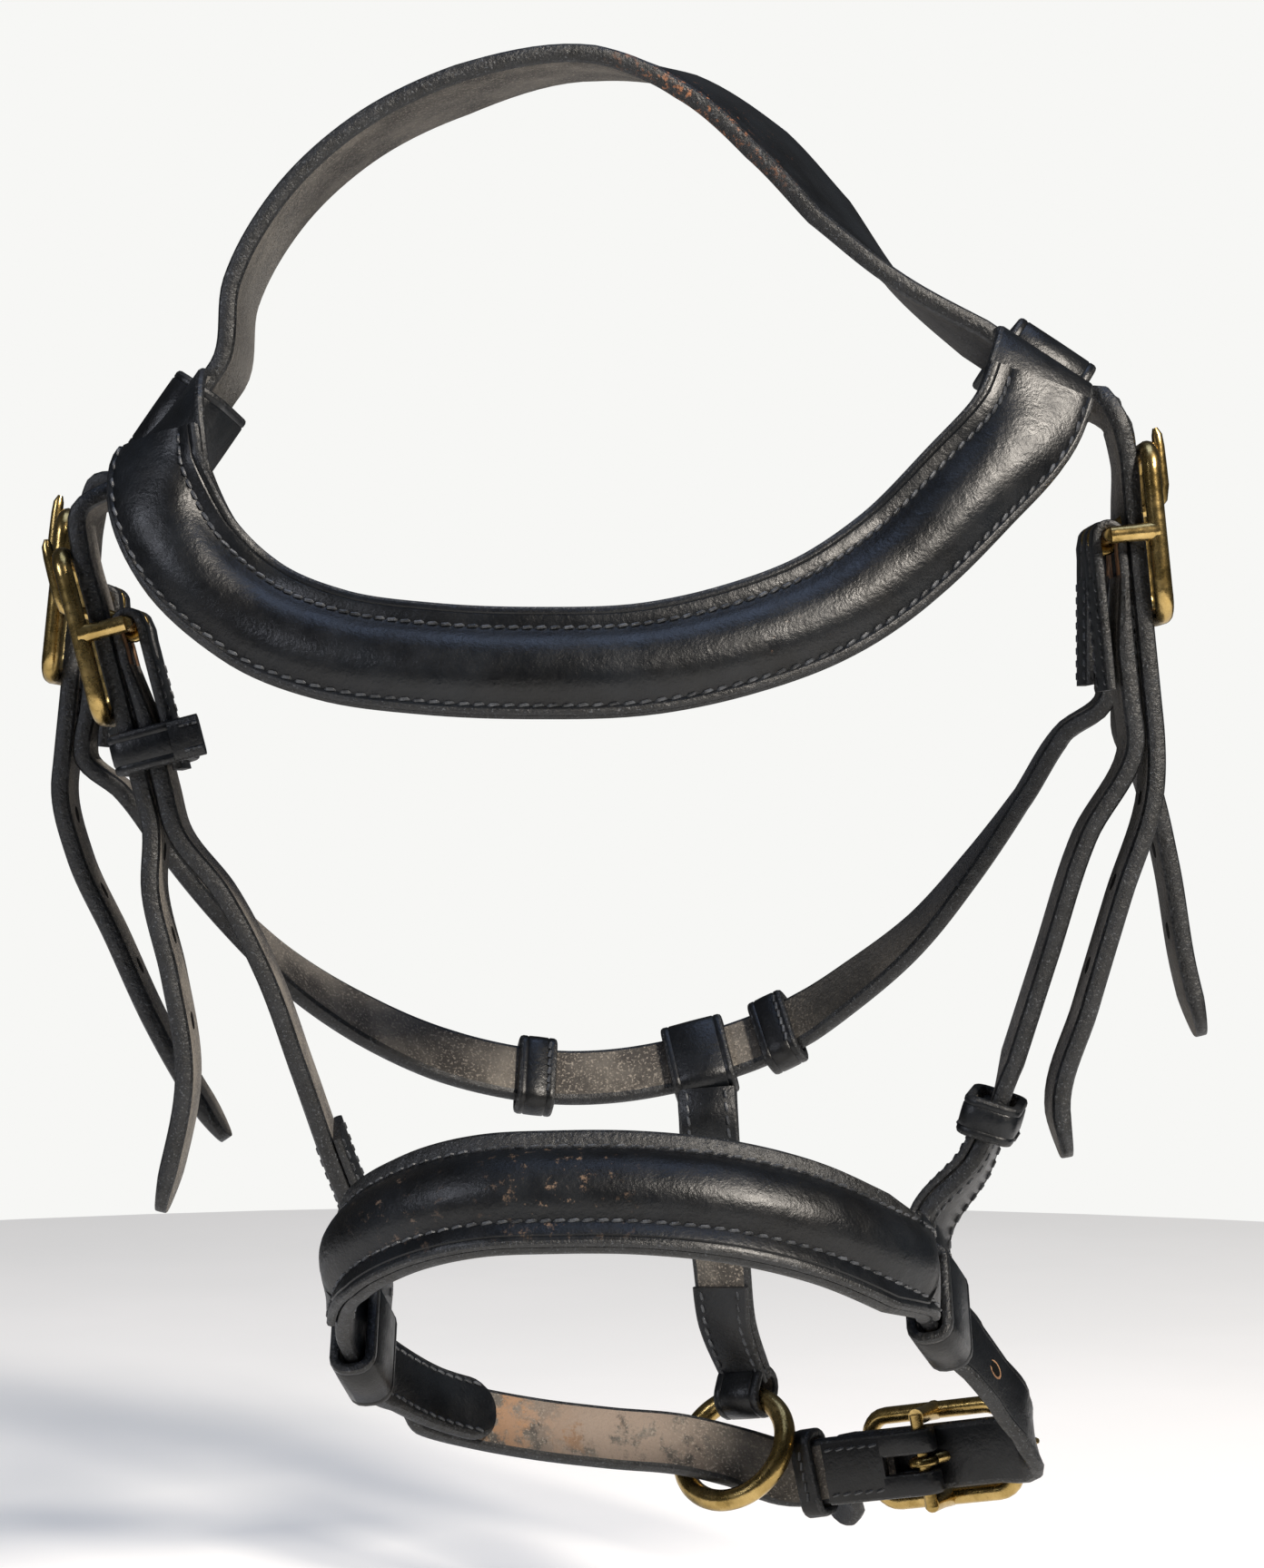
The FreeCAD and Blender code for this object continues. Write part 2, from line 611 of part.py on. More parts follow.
def buckle_frame(name, buckle):
    """Frame with two end bars, and a centre bar dropped on lugs towards the chape."""
    inner = "(sizes.%s + sizes.buckle_gap)" % buckle.width_alias
    outer = "(%s + 2 * sizes.buckle_wire)" % inner
    body = hollow(
        name, ("sizes.buckle_length", outer), ("sizes.buckle_length - 2 * sizes.buckle_wire", inner),
        "sizes.buckle_wire", "sizes.buckle_wire * 1.2",
    )
    lows = {
        "_lower_lug": "-%s / 2 - sizes.buckle_wire + sizes.lug_inset" % inner,
        "_upper_lug": "%s / 2 + sizes.lug_inset" % inner,
    }
    for suffix, low in lows.items():
        lug = body.newObject("PartDesign::AdditiveBox", name + suffix)
        lug.setExpression("Length", "sizes.lug_length")
        lug.setExpression("Width", "sizes.buckle_wire - 2 * sizes.lug_inset")
        lug.setExpression("Height", bar_drop + " + sizes.bar_thickness / 2")
        lug.setExpression("Placement.Base.x", "-sizes.lug_length / 2")
        lug.setExpression("Placement.Base.y", low)
        lug.setExpression("Placement.Base.z", "-%s - sizes.bar_thickness / 2" % bar_drop)
    bar = body.newObject("PartDesign::AdditiveCylinder", name + "_bar")
    bar.setExpression("Radius", "sizes.bar_thickness / 2")
    bar.setExpression("Height", inner + " + sizes.buckle_wire")
    bar.Placement = FreeCAD.Placement(Vector(0, 0, 0), FreeCAD.Rotation(Vector(1, 0, 0), 90))
    bar.setExpression("Placement.Base.y", "(%s + sizes.buckle_wire) / 2" % inner)
    bar.setExpression("Placement.Base.z", "-" + bar_drop)
    body.Tip = bar
    body.Placement = seat(buckle.at(0, frame_offset), buckle.axes)
    keep(body, name)


def tongue(name, buckle):
    """Round tongue: an eye on the centre bar, a rise through the billet, and a point on the end bar."""
    half = size("tongue_thickness") / 2
    eye_bore = bar_radius + size("bar_clearance") / 2
    rest = frame_offset + size("buckle_wire") / 2 + half + 2 * size("bar_clearance")
    hole_middle = size("tongue_hole_start") + size("tongue_hole_reach") / 2
    end = size("buckle_length") / 2
    stops = [
        Vector(eye_bore + half * 0.7, 0, 0), Vector(hole_middle, 0, billet_offset),
        Vector(hole_middle + half * 2.2, 0, rest - half * 0.4), Vector(end, 0, rest),
        Vector(end + size("tongue_overhang"), 0, rest - half * 0.2),
    ]
    shape = Part.makeCylinder(eye_bore + half * 1.2, 2 * half, Vector(0, -half, 0), Vector(0, 1, 0))
    for a, b in zip(stops, stops[1:]):
        shape = shape.fuse(Part.makeCylinder(half, (b - a).Length, a, b - a))
        shape = shape.fuse(Part.makeSphere(half, b))
    shape = shape.cut(Part.makeCylinder(eye_bore, 4 * half, Vector(0, -2 * half, 0), Vector(0, 1, 0)))
    feature(name, shape, buckle.placement)


for name, buckle in buckles.items():
    buckle_frame(name + "_buckle", buckle)
    tongue(name + "_tongue", buckle)


def runner(name, place, axes, width, depth, length):
    """Narrow leather loop; width and depth are the expressions of its inner size."""
    wall = " + 2 * sizes.keeper_leather"
    body = hollow(name, (width + wall, depth + wall), (width, depth), length, "sizes.keeper_leather * 0.8")
    along, across, out = axes
    body.Placement = seat(place, (across, out, along))
    keep(body, name)


left_cheek = buckles["left_cheek"]
stack = fold_radius + billet_offset + leather / 2
runner(
    "left_cheek_keeper", left_cheek.at(-27, stack / 2 - fold_radius), left_cheek.axes,
    "sizes.cheek_width + 2 * sizes.sleeve_clearance", "%.3f + 2 * sizes.lay_clearance" % stack,
    "sizes.keeper_length",
)
place, run, up, _ = nearest(right_cheek_stations, (88, -5, -232))
runner(
    "right_cheek_keeper", place, (run, up, run.cross(up)),
    "sizes.cheek_width + 2 * sizes.sleeve_clearance", "sizes.leather + 5 * sizes.sleeve_clearance",
    "sizes.keeper_length",
)
for name, target in (("left_throat_runner", (-15, 49, -228)), ("right_throat_runner", (43, 48, -217))):
    place, run, up, _ = nearest(throat_stations, target)
    runner(
        name, place, (run, up, run.cross(up)),
        "sizes.throat_width + 2 * sizes.sleeve_clearance", "sizes.leather + 2 * sizes.sleeve_clearance",
        "sizes.runner_length",
    )
place, run, up, _ = nearest(back_stations, nose_buckle.at(-31, chape_inset))
runner(
    "noseband_runner", place + run * size("noseband_runner_shift"), (run, up, run.cross(up)),
    "sizes.back_strap_width + 2 * sizes.sleeve_clearance", "sizes.leather + 2 * sizes.sleeve_clearance",
    "sizes.noseband_runner_length",
)

# ---------------------------------------------------------------- export

doc.recompute()
for item in doc.Objects:
    if "Invalid" in item.State or "Error" in item.State:
        raise RuntimeError("%s is %s" % (item.Label, item.State))
for item in nodes:
    if item.Shape.isNull() or not item.Shape.isValid():
        raise RuntimeError("%s has no valid shape" % item.Label)
    if len(item.Shape.Solids) != 1:
        raise RuntimeError("%s is not one solid" % item.Label)
for item in nodes:
    item.Shape.exportStep("parts/%s.step" % item.Label)
    print(item.Label, len(item.Shape.Solids), round(item.Shape.Volume))
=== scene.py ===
import math

import bmesh
import bpy
from mathutils import Matrix, Vector


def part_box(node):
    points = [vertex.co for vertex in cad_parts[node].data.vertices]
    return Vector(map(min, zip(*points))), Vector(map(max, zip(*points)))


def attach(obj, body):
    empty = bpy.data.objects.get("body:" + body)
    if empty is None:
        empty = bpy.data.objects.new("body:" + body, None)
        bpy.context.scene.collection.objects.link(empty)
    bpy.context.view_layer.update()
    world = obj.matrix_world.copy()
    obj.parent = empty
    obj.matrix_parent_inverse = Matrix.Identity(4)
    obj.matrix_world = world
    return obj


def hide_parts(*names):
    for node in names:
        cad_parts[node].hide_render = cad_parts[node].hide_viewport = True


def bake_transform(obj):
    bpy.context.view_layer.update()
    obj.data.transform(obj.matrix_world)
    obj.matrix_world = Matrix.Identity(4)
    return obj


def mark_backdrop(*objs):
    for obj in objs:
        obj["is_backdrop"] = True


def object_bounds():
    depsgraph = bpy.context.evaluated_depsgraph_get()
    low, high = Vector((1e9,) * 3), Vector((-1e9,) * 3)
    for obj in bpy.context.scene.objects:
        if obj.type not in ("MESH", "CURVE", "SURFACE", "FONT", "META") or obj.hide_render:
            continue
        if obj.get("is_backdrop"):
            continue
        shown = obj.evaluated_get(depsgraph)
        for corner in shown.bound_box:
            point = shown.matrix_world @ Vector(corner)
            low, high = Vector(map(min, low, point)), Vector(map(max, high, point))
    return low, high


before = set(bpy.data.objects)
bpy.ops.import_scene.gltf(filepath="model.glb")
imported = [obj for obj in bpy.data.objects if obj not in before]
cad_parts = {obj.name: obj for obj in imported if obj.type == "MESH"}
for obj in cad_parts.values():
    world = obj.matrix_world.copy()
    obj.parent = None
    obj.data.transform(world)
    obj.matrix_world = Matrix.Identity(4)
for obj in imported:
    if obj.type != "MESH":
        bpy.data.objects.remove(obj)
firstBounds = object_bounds()
print("frame loaded")

# shared sizes, in millimetres
sizes = {
    "leather": 4.0, "skived": 2.1, "lining": 2.4, "facing": 1.8, "noseLeather": 3.6,
    "crownWidth": 36.0, "pointWidth": 16.0, "cheekWidth": 16.0, "throatWidth": 14.0,
    "connectorWidth": 14.0, "backWidth": 15.0, "noseWidth": 28.0, "browWidth": 24.0,
    "padHalf": 7.7, "padHeight": 3.6, "steps": 9, "edgeRound": 1.3, "creaseIn": 2.0, "creaseDepth": 0.22,
    "buckleLength": 40.0, "buckleGap": 1.0, "wire": 4.0, "bar": 3.0, "tongue": 2.8,
    "stitchPitch": 2.9, "stitchLength": 2.3, "stitchRadius": 0.4, "stitchLift": 0.06, "stitchIn": 2.3,
    "ringInner": 22.0, "ringWire": 5.0, "keeperWall": 2.2, "keeperLength": 9.0,
}
foldRadius = sizes["bar"] / 2 + 0.1 + sizes["skived"]
layerOffset = foldRadius - sizes["skived"] / 2
billetOffset = foldRadius + 0.3 + sizes["leather"] / 2
frameOffset = billetOffset + sizes["leather"] / 2 + 0.3 + sizes["wire"] / 2
chapeInset = foldRadius - sizes["leather"] / 2 - 0.2


# linear colour of an sRGB hex text
def srgb(text):
    parts = [int(text[i:i + 2], 16) / 255 for i in (1, 3, 5)]
    return [c / 12.92 if c <= 0.04045 else ((c + 0.055) / 1.055) ** 2.4 for c in parts] + [1.0]


# new shader node; values that are sockets are linked and the others are set
def add(tree, kind, **values):
    item = tree.nodes.new(kind)
    for key, value in values.items():
        name = key.replace("_", " ")
        target = item.inputs[int(key[1:])] if key[0] == "i" and key[1:].isdigit() else None
        if target is None and name in item.inputs:
            target = item.inputs[name]
        if target is None:
            setattr(item, key, value)
        elif isinstance(value, bpy.types.NodeSocket):
            tree.links.new(value, target)
        else:
            target.default_value = value
    return item


def noise(tree, where, scale, detail=4.0, rough=0.6):
    item = add(tree, "ShaderNodeTexNoise", Vector=where, Scale=scale, Detail=detail, Roughness=rough)
    return item.outputs["Fac"]


# value stretched so that low becomes 0 and high becomes 1
def ramp(tree, value, low, high):
    item = add(tree, "ShaderNodeMapRange", Value=value)
    item.inputs["From Min"].default_value = low
    item.inputs["From Max"].default_value = high
    return item.outputs["Result"]


def mix(tree, factor, first, second):
    item = add(tree, "ShaderNodeMix", data_type="RGBA", i0=factor)
    for value, target in ((first, item.inputs[6]), (second, item.inputs[7])):
        if isinstance(value, bpy.types.NodeSocket):
            tree.links.new(value, target)
        else:
            target.default_value = value
    return item.outputs[2]


def times(tree, first, second):
    item = add(tree, "ShaderNodeMath", operation="MULTIPLY")
    for value, target in ((first, item.inputs[0]), (second, item.inputs[1])):
        if isinstance(value, bpy.types.NodeSocket):
            tree.links.new(value, target)
        else:
            target.default_value = value
    return item.outputs[0]


# 1 near a place on the object and 0 beyond the radius; both in metres
def patch(tree, where, centre, radius):
    gap = add(tree, "ShaderNodeVectorMath", operation="DISTANCE", i0=where, i1=centre).outputs["Value"]
    return ramp(tree, gap, radius, radius * 0.25)


# procedural material from one dictionary of values
def material(name, look):
    item = bpy.data.materials.new(name)
    item.use_nodes = True
    tree = item.node_tree
    tree.nodes.clear()
    where = add(tree, "ShaderNodeTexCoord").outputs["Object"]
    tone = ramp(tree, noise(tree, where, look["patchScale"], 5.0), 0.38, 0.66)
    colour = mix(tree, tone, srgb(look["dark"]), srgb(look["light"]))
    if "speckle" in look:
        grit = noise(tree, where, look["speckleScale"], 2.0)
        dots = ramp(tree, grit, look["speckleFrom"], look["speckleFrom"] + 0.1)
        colour = mix(tree, dots, colour, srgb(look["speckle"]))
    if "wear" in look:
        rubbed = noise(tree, where, look["wearScale"], 9.0, 0.72)
        worn = ramp(tree, rubbed, look["wearFrom"], look["wearFrom"] + 0.06)
        colour = mix(tree, times(tree, worn, look["wearAmount"]), colour, srgb(look["wear"]))
    for centre, radius, hexText, threshold, scale in look.get("marks", []):
        near = patch(tree, where, centre, radius)
        streak = ramp(tree, noise(tree, where, scale, 10.0, 0.75), threshold, threshold + 0.07)
        colour = mix(tree, times(tree, near, streak), colour, srgb(hexText))
    # painted shade: dark patches mixed into the colour where the strap lies in shade, not a real stain
    for centre, radius, hexText, amount in look.get("shades", []):
        near = patch(tree, where, centre, radius)
        colour = mix(tree, times(tree, near, amount), colour, srgb(hexText))
    shine = ramp(tree, noise(tree, where, look["patchScale"] * 3, 6.0), 0.3, 0.7)
    rough = add(tree, "ShaderNodeMapRange", Value=shine)
    rough.inputs["To Min"].default_value = look["roughness"] - look["roughSpread"]
    rough.inputs["To Max"].default_value = look["roughness"] + look["roughSpread"]
    fine = add(
        tree, "ShaderNodeBump", Height=noise(tree, where, look["fineScale"], 6.0),
        Strength=look["fineBump"], Distance=0.0003,
    )
    coarse = add(
        tree, "ShaderNodeBump", Height=noise(tree, where, look["foldScale"], 4.0),
        Strength=look["foldBump"], Distance=0.0012, Normal=fine.outputs["Normal"],
    )
    shader = add(
        tree, "ShaderNodeBsdfPrincipled", Base_Color=colour, Roughness=rough.outputs["Result"],
        Metallic=look.get("metal", 0.0), Normal=coarse.outputs["Normal"],
    )
    shader.inputs["Specular IOR Level"].default_value = look.get("specular", 0.5)
    shader.inputs["Coat Weight"].default_value = look.get("coat", 0.0)
    shader.inputs["Coat Roughness"].default_value = 0.35
    shader.inputs["Sheen Weight"].default_value = look.get("sheen", 0.0)
    shader.inputs["Emission Color"].default_value = srgb(look["light"])
    shader.inputs["Emission Strength"].default_value = look.get("glow", 0.0)
    output = add(tree, "ShaderNodeOutputMaterial", Surface=shader.outputs["BSDF"])
    output.target = "ALL"
    return item


looks = {
    "black_leather_grain": {
        "dark": "#08090b", "light": "#101317", "patchScale": 60.0, "roughness": 0.36, "roughSpread": 0.08,
        "fineScale": 1300.0, "fineBump": 0.35, "foldScale": 260.0, "foldBump": 0.18,
        "specular": 0.36,
        "wear": "#4a382d", "wearScale": 240.0, "wearFrom": 0.72, "wearAmount": 0.5,
        "marks": [
            ((0.03, -0.02, -0.004), 0.03, "#8a5a3c", 0.6, 420.0),
            ((-0.042, -0.053, -0.246), 0.016, "#66564a", 0.58, 340.0),
            ((-0.006, -0.06, -0.242), 0.02, "#74604f", 0.585, 340.0),
            ((0.04, -0.058, -0.128), 0.012, "#6d5646", 0.63, 400.0),
        ],
    },
    "black_leather_edge": {
        "dark": "#090a0b", "light": "#15171a", "patchScale": 160.0, "roughness": 0.46, "roughSpread": 0.12,
        "fineScale": 1500.0, "fineBump": 0.7, "foldScale": 420.0, "foldBump": 0.4,
        "speckle": "#45484c", "speckleScale": 1900.0, "speckleFrom": 0.6,
        "wear": "#5a4232", "wearScale": 300.0, "wearFrom": 0.72, "wearAmount": 0.35,
        "marks": [((0.03, -0.02, -0.004), 0.03, "#94603e", 0.54, 600.0)],
    },
    "leather_flesh_side": {
        "dark": "#3b3835", "light": "#6b665f", "patchScale": 70.0, "roughness": 0.85, "roughSpread": 0.08,
        "fineScale": 1700.0, "fineBump": 0.9, "foldScale": 500.0, "foldBump": 0.4, "sheen": 0.1,
        "speckle": "#827b72", "speckleScale": 1700.0, "speckleFrom": 0.55, "specular": 0.25,
        "marks": [
            ((-0.022, 0.03, -0.305), 0.034, "#8b6d54", 0.46, 90.0),
            ((0.004, 0.036, -0.31), 0.03, "#82756a", 0.42, 120.0),
        ],
        # painted shade: the right part of the throat strap and the flesh sides near both ends of the
        # headpiece are darkened as if in shade
        "shades": [
            ((0.1, 0.025, -0.15), 0.085, "#0b0b0b", 0.93),
            ((0.06, 0.045, -0.208), 0.032, "#0d0d0c", 0.85),
            ((-0.09, 0.0, -0.06), 0.05, "#0e0e0f", 0.8),
            ((0.09, 0.0, -0.05), 0.06, "#0c0c0d", 0.9),
        ],
    },
    "raw_cut_leather": {
        "dark": "#6b4c35", "light": "#9c7857", "patchScale": 400.0, "roughness": 0.8, "roughSpread": 0.08,
        "fineScale": 1800.0, "fineBump": 0.8, "foldScale": 600.0, "foldBump": 0.3,
    },
    "waxed_black_thread": {
        "dark": "#1b1d20", "light": "#474a4f", "patchScale": 300.0, "roughness": 0.4, "roughSpread": 0.08,
        "fineScale": 2600.0, "fineBump": 0.5, "foldScale": 900.0, "foldBump": 0.2,
    },
    "punched_hole_shadow": {
        "dark": "#040404", "light": "#0a0908", "patchScale": 300.0, "roughness": 0.9, "roughSpread": 0.05,
        "fineScale": 900.0, "fineBump": 0.2, "foldScale": 300.0, "foldBump": 0.1, "specular": 0.1,
    },
    "brass": {
        "dark": "#98804c", "light": "#c4a970", "patchScale": 140.0, "roughness": 0.27, "roughSpread": 0.08,
        "fineScale": 900.0, "fineBump": 0.12, "foldScale": 240.0, "foldBump": 0.1, "metal": 1.0,
        "wear": "#5d4e2c", "wearScale": 260.0, "wearFrom": 0.6, "wearAmount": 0.5,
    },
    "felt_padding": {
        "dark": "#2b2927", "light": "#3a3734", "patchScale": 200.0, "roughness": 0.95, "roughSpread": 0.03,
        "fineScale": 2000.0, "fineBump": 0.8, "foldScale": 500.0, "foldBump": 0.4,
    },
}
made = {name: material(name, look) for name, look in looks.items()}
leatherSet = [
    "black_leather_grain", "black_leather_edge", "leather_flesh_side",
    "raw_cut_leather", "waxed_black_thread", "punched_hole_shadow",
]
grain, edge, flesh, raw, thread, shadow = range(6)
for name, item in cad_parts.items():
    kind = "brass" if name.endswith(("_buckle", "_tongue", "_ring")) else "black_leather_grain"
    item.data.materials.clear()
    item.data.materials.append(made["felt_padding" if name.endswith("_padding") else kind])
print("materials made")


def vec(value):
    return value if isinstance(value, Vector) else Vector(value)


# three perpendicular unit vectors: along, across and out
def basis(forward, out):
    along = vec(forward).normalized()
    outward = vec(out)
    outward = (outward - along * outward.dot(along)).normalized()
    return along, outward.cross(along), outward


# a place with its own along, across and out axes
class Seat:
    def __init__(self, origin, axes):
        self.origin = vec(origin)
        self.axes = axes

    def at(self, along, out, across=0.0):
        return self.origin + self.axes[0] * along + self.axes[1] * across + self.axes[2] * out


buckles = {
    "left_cheek": Seat((-101, -14, -124), basis((-0.25, 0, 0.97), (-1, 0, 0))),
    "left_throat": Seat((-111, 16, -117), basis((0.1, 0, 1), (-1, 0, 0))),
    "right_cheek": Seat((111, -14, -105), basis((-0.1, 0, 1), (1, 0, 0))),
    "right_throat": Seat((114, 16, -103), basis((0, 0, 1), (1, 0, 0))),
    "noseband": Seat((75, 22, -314), basis((0.84, -0.5, 0.2), (0.5, 0.85, 0))),
}


# stations along a smooth line: place, direction, side and (width, thickness)
def smooth(points, sides, shapes, steps=None):
    steps = steps or sizes["steps"]
    points = [vec(p) for p in points]
    sides = [vec(s) for s in sides]
    gaps = [(b - a).length for a, b in zip(points, points[1:])]
    slopes = [(points[1] - points[0]) / gaps[0]]
    for i in range(1, len(points) - 1):
        before = (points[i] - points[i - 1]) / gaps[i - 1]
        after = (points[i + 1] - points[i]) / gaps[i]
        slopes.append((before * gaps[i] + after * gaps[i - 1]) / (gaps[i] + gaps[i - 1]))
    slopes.append((points[-1] - points[-2]) / gaps[-1])
    stations = []
    for i, gap in enumerate(gaps):
        count = max(2, min(steps, round(gap / 1.8)))
        for j in range(count + 1 if i == len(gaps) - 1 else count):
            s = j / count
            place = points[i] * (2 * s**3 - 3 * s**2 + 1) + slopes[i] * gap * (s**3 - 2 * s**2 + s)
            place += points[i + 1] * (3 * s**2 - 2 * s**3) + slopes[i + 1] * gap * (s**3 - s**2)
            direction = points[i] * (6 * s**2 - 6 * s) + slopes[i] * gap * (3 * s**2 - 4 * s + 1)
            direction += points[i + 1] * (6 * s - 6 * s**2) + slopes[i + 1] * gap * (3 * s**2 - 2 * s)
            direction.normalize()
            side = sides[i] * (1 - s) + sides[i + 1] * s
            side = (side - direction * side.dot(direction)).normalized()
            shape = [a * (1 - s) + b * s for a, b in zip(shapes[i], shapes[i + 1])]
            stations.append((place, direction, side, shape))
    return stations


def nearest(stations, place):
    return min(stations, key=lambda station: (station[0] - vec(place)).length)


# +1 if the face side of the stations points away from the centre, or -1
def facing(stations, centre, axis=None):
    total = 0.0
    for place, direction, side, _ in stations:
        away = place - vec(centre)
        if axis is not None:
            away -= vec(axis) * away.dot(vec(axis))
        total += direction.cross(side).dot(away)
    return 1 if total > 0 else -1


# collects geometry in millimetres for one object
class Piece:
    def __init__(self, name, materials=None):
        self.name = name
        self.materials = materials or leatherSet
        self.mesh = bmesh.new()

    # skin through a section drawn at each station; the section gives (across, depth, material)
    def sweep(self, stations, section, closed=False, capKind=edge):
        rings = []
        kinds = []
        for place, direction, side, shape in stations:
            face = direction.cross(side)
            outline = section(shape)
            kinds = [kind for _, _, kind in outline]
            rings.append([self.mesh.verts.new(place + side * a + face * d) for a, d, _ in outline])
        pairs = list(zip(rings, rings[1:])) + ([(rings[-1], rings[0])] if closed else [])
        for first, second in pairs:
            for i, kind in enumerate(kinds):
                j = (i + 1) % len(kinds)
                skin = self.mesh.faces.new((first[i], first[j], second[j], second[i]))
                skin.material_index = kind
        if not closed:
            for ring in (rings[0], rings[-1]):
                self.mesh.faces.new(ring).material_index = capKind

    # round rod along points; radius may be a list
    def tube(self, points, radius, kind=0, count=10, flat=1.0, closed=False):
        points = [vec(p) for p in points]
        radii = radius if isinstance(radius, list) else [radius] * len(points)
        last = None
        rings = []
        for i, point in enumerate(points):
            ahead = points[(i + 1) % len(points)] if closed or i + 1 < len(points) else point
            behind = points[i - 1] if closed or i > 0 else point
            direction = (ahead - behind).normalized()
            side = last or direction.orthogonal().normalized()
            side = (side - direction * side.dot(direction)).normalized()
            last = side
            up = direction.cross(side)
            ring = []
            for k in range(count):
                turn = 2 * math.pi * k / count
                offset = side * math.cos(turn) + up * math.sin(turn) * flat
                ring.append(self.mesh.verts.new(point + offset * radii[i]))
            rings.append(ring)
        pairs = list(zip(rings, rings[1:])) + ([(rings[-1], rings[0])] if closed else [])
        for first, second in pairs:
            for k in range(count):
                m = (k + 1) % count
                self.mesh.faces.new((first[k], first[m], second[m], second[k])).material_index = kind
        if not closed:
            for ring in (rings[0], rings[-1]):
                self.mesh.faces.new(ring).material_index = kind

    # row of slanted stitches at one distance across and above the line of stations
    def stitches(self, stations, across, depth, slant=0.5, skip=0):
        pitch = sizes["stitchPitch"]
        length = sizes["stitchLength"]
        travelled = 0.0
        wanted = pitch * (0.7 + skip)
        total = sum((b[0] - a[0]).length for a, b in zip(stations, stations[1:]))
        for a, b in zip(stations, stations[1:]):
            gap = (b[0] - a[0]).length
            while wanted < travelled + gap and wanted < total - pitch * (0.4 + skip):
                s = (wanted - travelled) / gap
                place = a[0].lerp(b[0], s)
                direction = a[1].lerp(b[1], s).normalized()
                side = a[2].lerp(b[2], s).normalized()
                face = direction.cross(side)
                width = a[3][0] * (1 - s) + b[3][0] * s
                where = across(width) if callable(across) else across
                high = depth(width) if callable(depth) else depth
                middle = place + side * where + face * high
                run = (direction + side * slant * 0.35).normalized() * length / 2
                lift = face * math.copysign(sizes["stitchLift"], high)
                radius = sizes["stitchRadius"]
                bend = run * 0.55
                sink = lift * 5
                line = [middle - run - sink, middle - bend + lift, middle + bend + lift, middle + run - sink]
                self.tube(line, [radius * 0.6, radius, radius, radius * 0.6], thread, 6)
                wanted += pitch
            travelled += gap

    # thin plate on a face, for a punched hole
    def disc(self, centre, normal, radius, kind, height=0.08, stretch=1.0, along=None):
        normal = vec(normal).normalized()
        first = (vec(along) if along is not None else normal.orthogonal()).normalized()
        first = (first - normal * first.dot(normal)).normalized()
        second = normal.cross(first)
        low = -0.3
        place = Matrix.Translation(vec(centre) + normal * (low + height) / 2)
        turned = Matrix((first * stretch, second, normal)).transposed().to_4x4()
        plate = bmesh.ops.create_cone(
            self.mesh, cap_ends=True, segments=16, radius1=radius, radius2=radius,
            depth=height - low, matrix=place @ turned,
        )
        for face in {face for vert in plate["verts"] for face in vert.link_faces}:
            face.material_index = kind

    # makes the object in metres, hides the nodes it stands for and lets it ride a body
    def finish(self, *nodes, body=None, sharp=38.0):
        bmesh.ops.recalc_face_normals(self.mesh, faces=self.mesh.faces)
        bmesh.ops.transform(self.mesh, matrix=Matrix.Scale(0.001, 4), verts=self.mesh.verts)
        data = bpy.data.meshes.new(self.name)
        for face in self.mesh.faces:
            face.smooth = True
        self.mesh.to_mesh(data)
        self.mesh.free()
        data.set_sharp_from_angle(angle=math.radians(sharp))
        for name in self.materials:
            data.materials.append(made[name])
        item = bpy.data.objects.new(self.name, data)
        bpy.context.scene.collection.objects.link(item)
        if nodes:
            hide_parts(*nodes)
        if body:
            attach(item, body)
        return item


# single leather: grain on the turn side, flesh on the other, burnished edges between
def strapSection(turn=1, crease=True, inner=flesh, rounding=None):
    def section(shape):
        half = shape[0] / 2
        t = shape[1] / 2
        r = min(rounding or sizes["edgeRound"], t * 0.9, half * 0.3)
        cut = min(sizes["creaseIn"], half * 0.6)
        deep = sizes["creaseDepth"] if half > 4 else 0.0
        points = [(-half + r, t, grain)]
        if crease:
            left = -half + cut
            right = half - cut
            points += [(left - 0.35, t, grain), (left, t - deep, grain), (left + 0.35, t, grain)]
            points += [(0, t + 0.05, grain)]
            points += [(right - 0.35, t, grain), (right, t - deep, grain), (right + 0.35, t, grain)]
        points += [(half - r, t, edge), (half - 0.3 * r, t - 0.35 * r, edge), (half, t - r, edge)]
        points += [(half + 0.05, 0, edge), (half, -t + r, edge), (half - 0.3 * r, -t + 0.35 * r, edge)]
        points += [(half - r, -t, inner), (0, -t, inner), (-half + r, -t, edge)]
        points += [(-half + 0.3 * r, -t + 0.35 * r, edge), (-half, -t + r, edge), (-half - 0.05, 0, edge)]
        points += [(-half, t - r, edge), (-half + 0.3 * r, t - 0.35 * r, edge)]
        return [(a, d * turn, kind) for a, d, kind in points]

    return section


def same(count, *shape):
    return [shape] * count


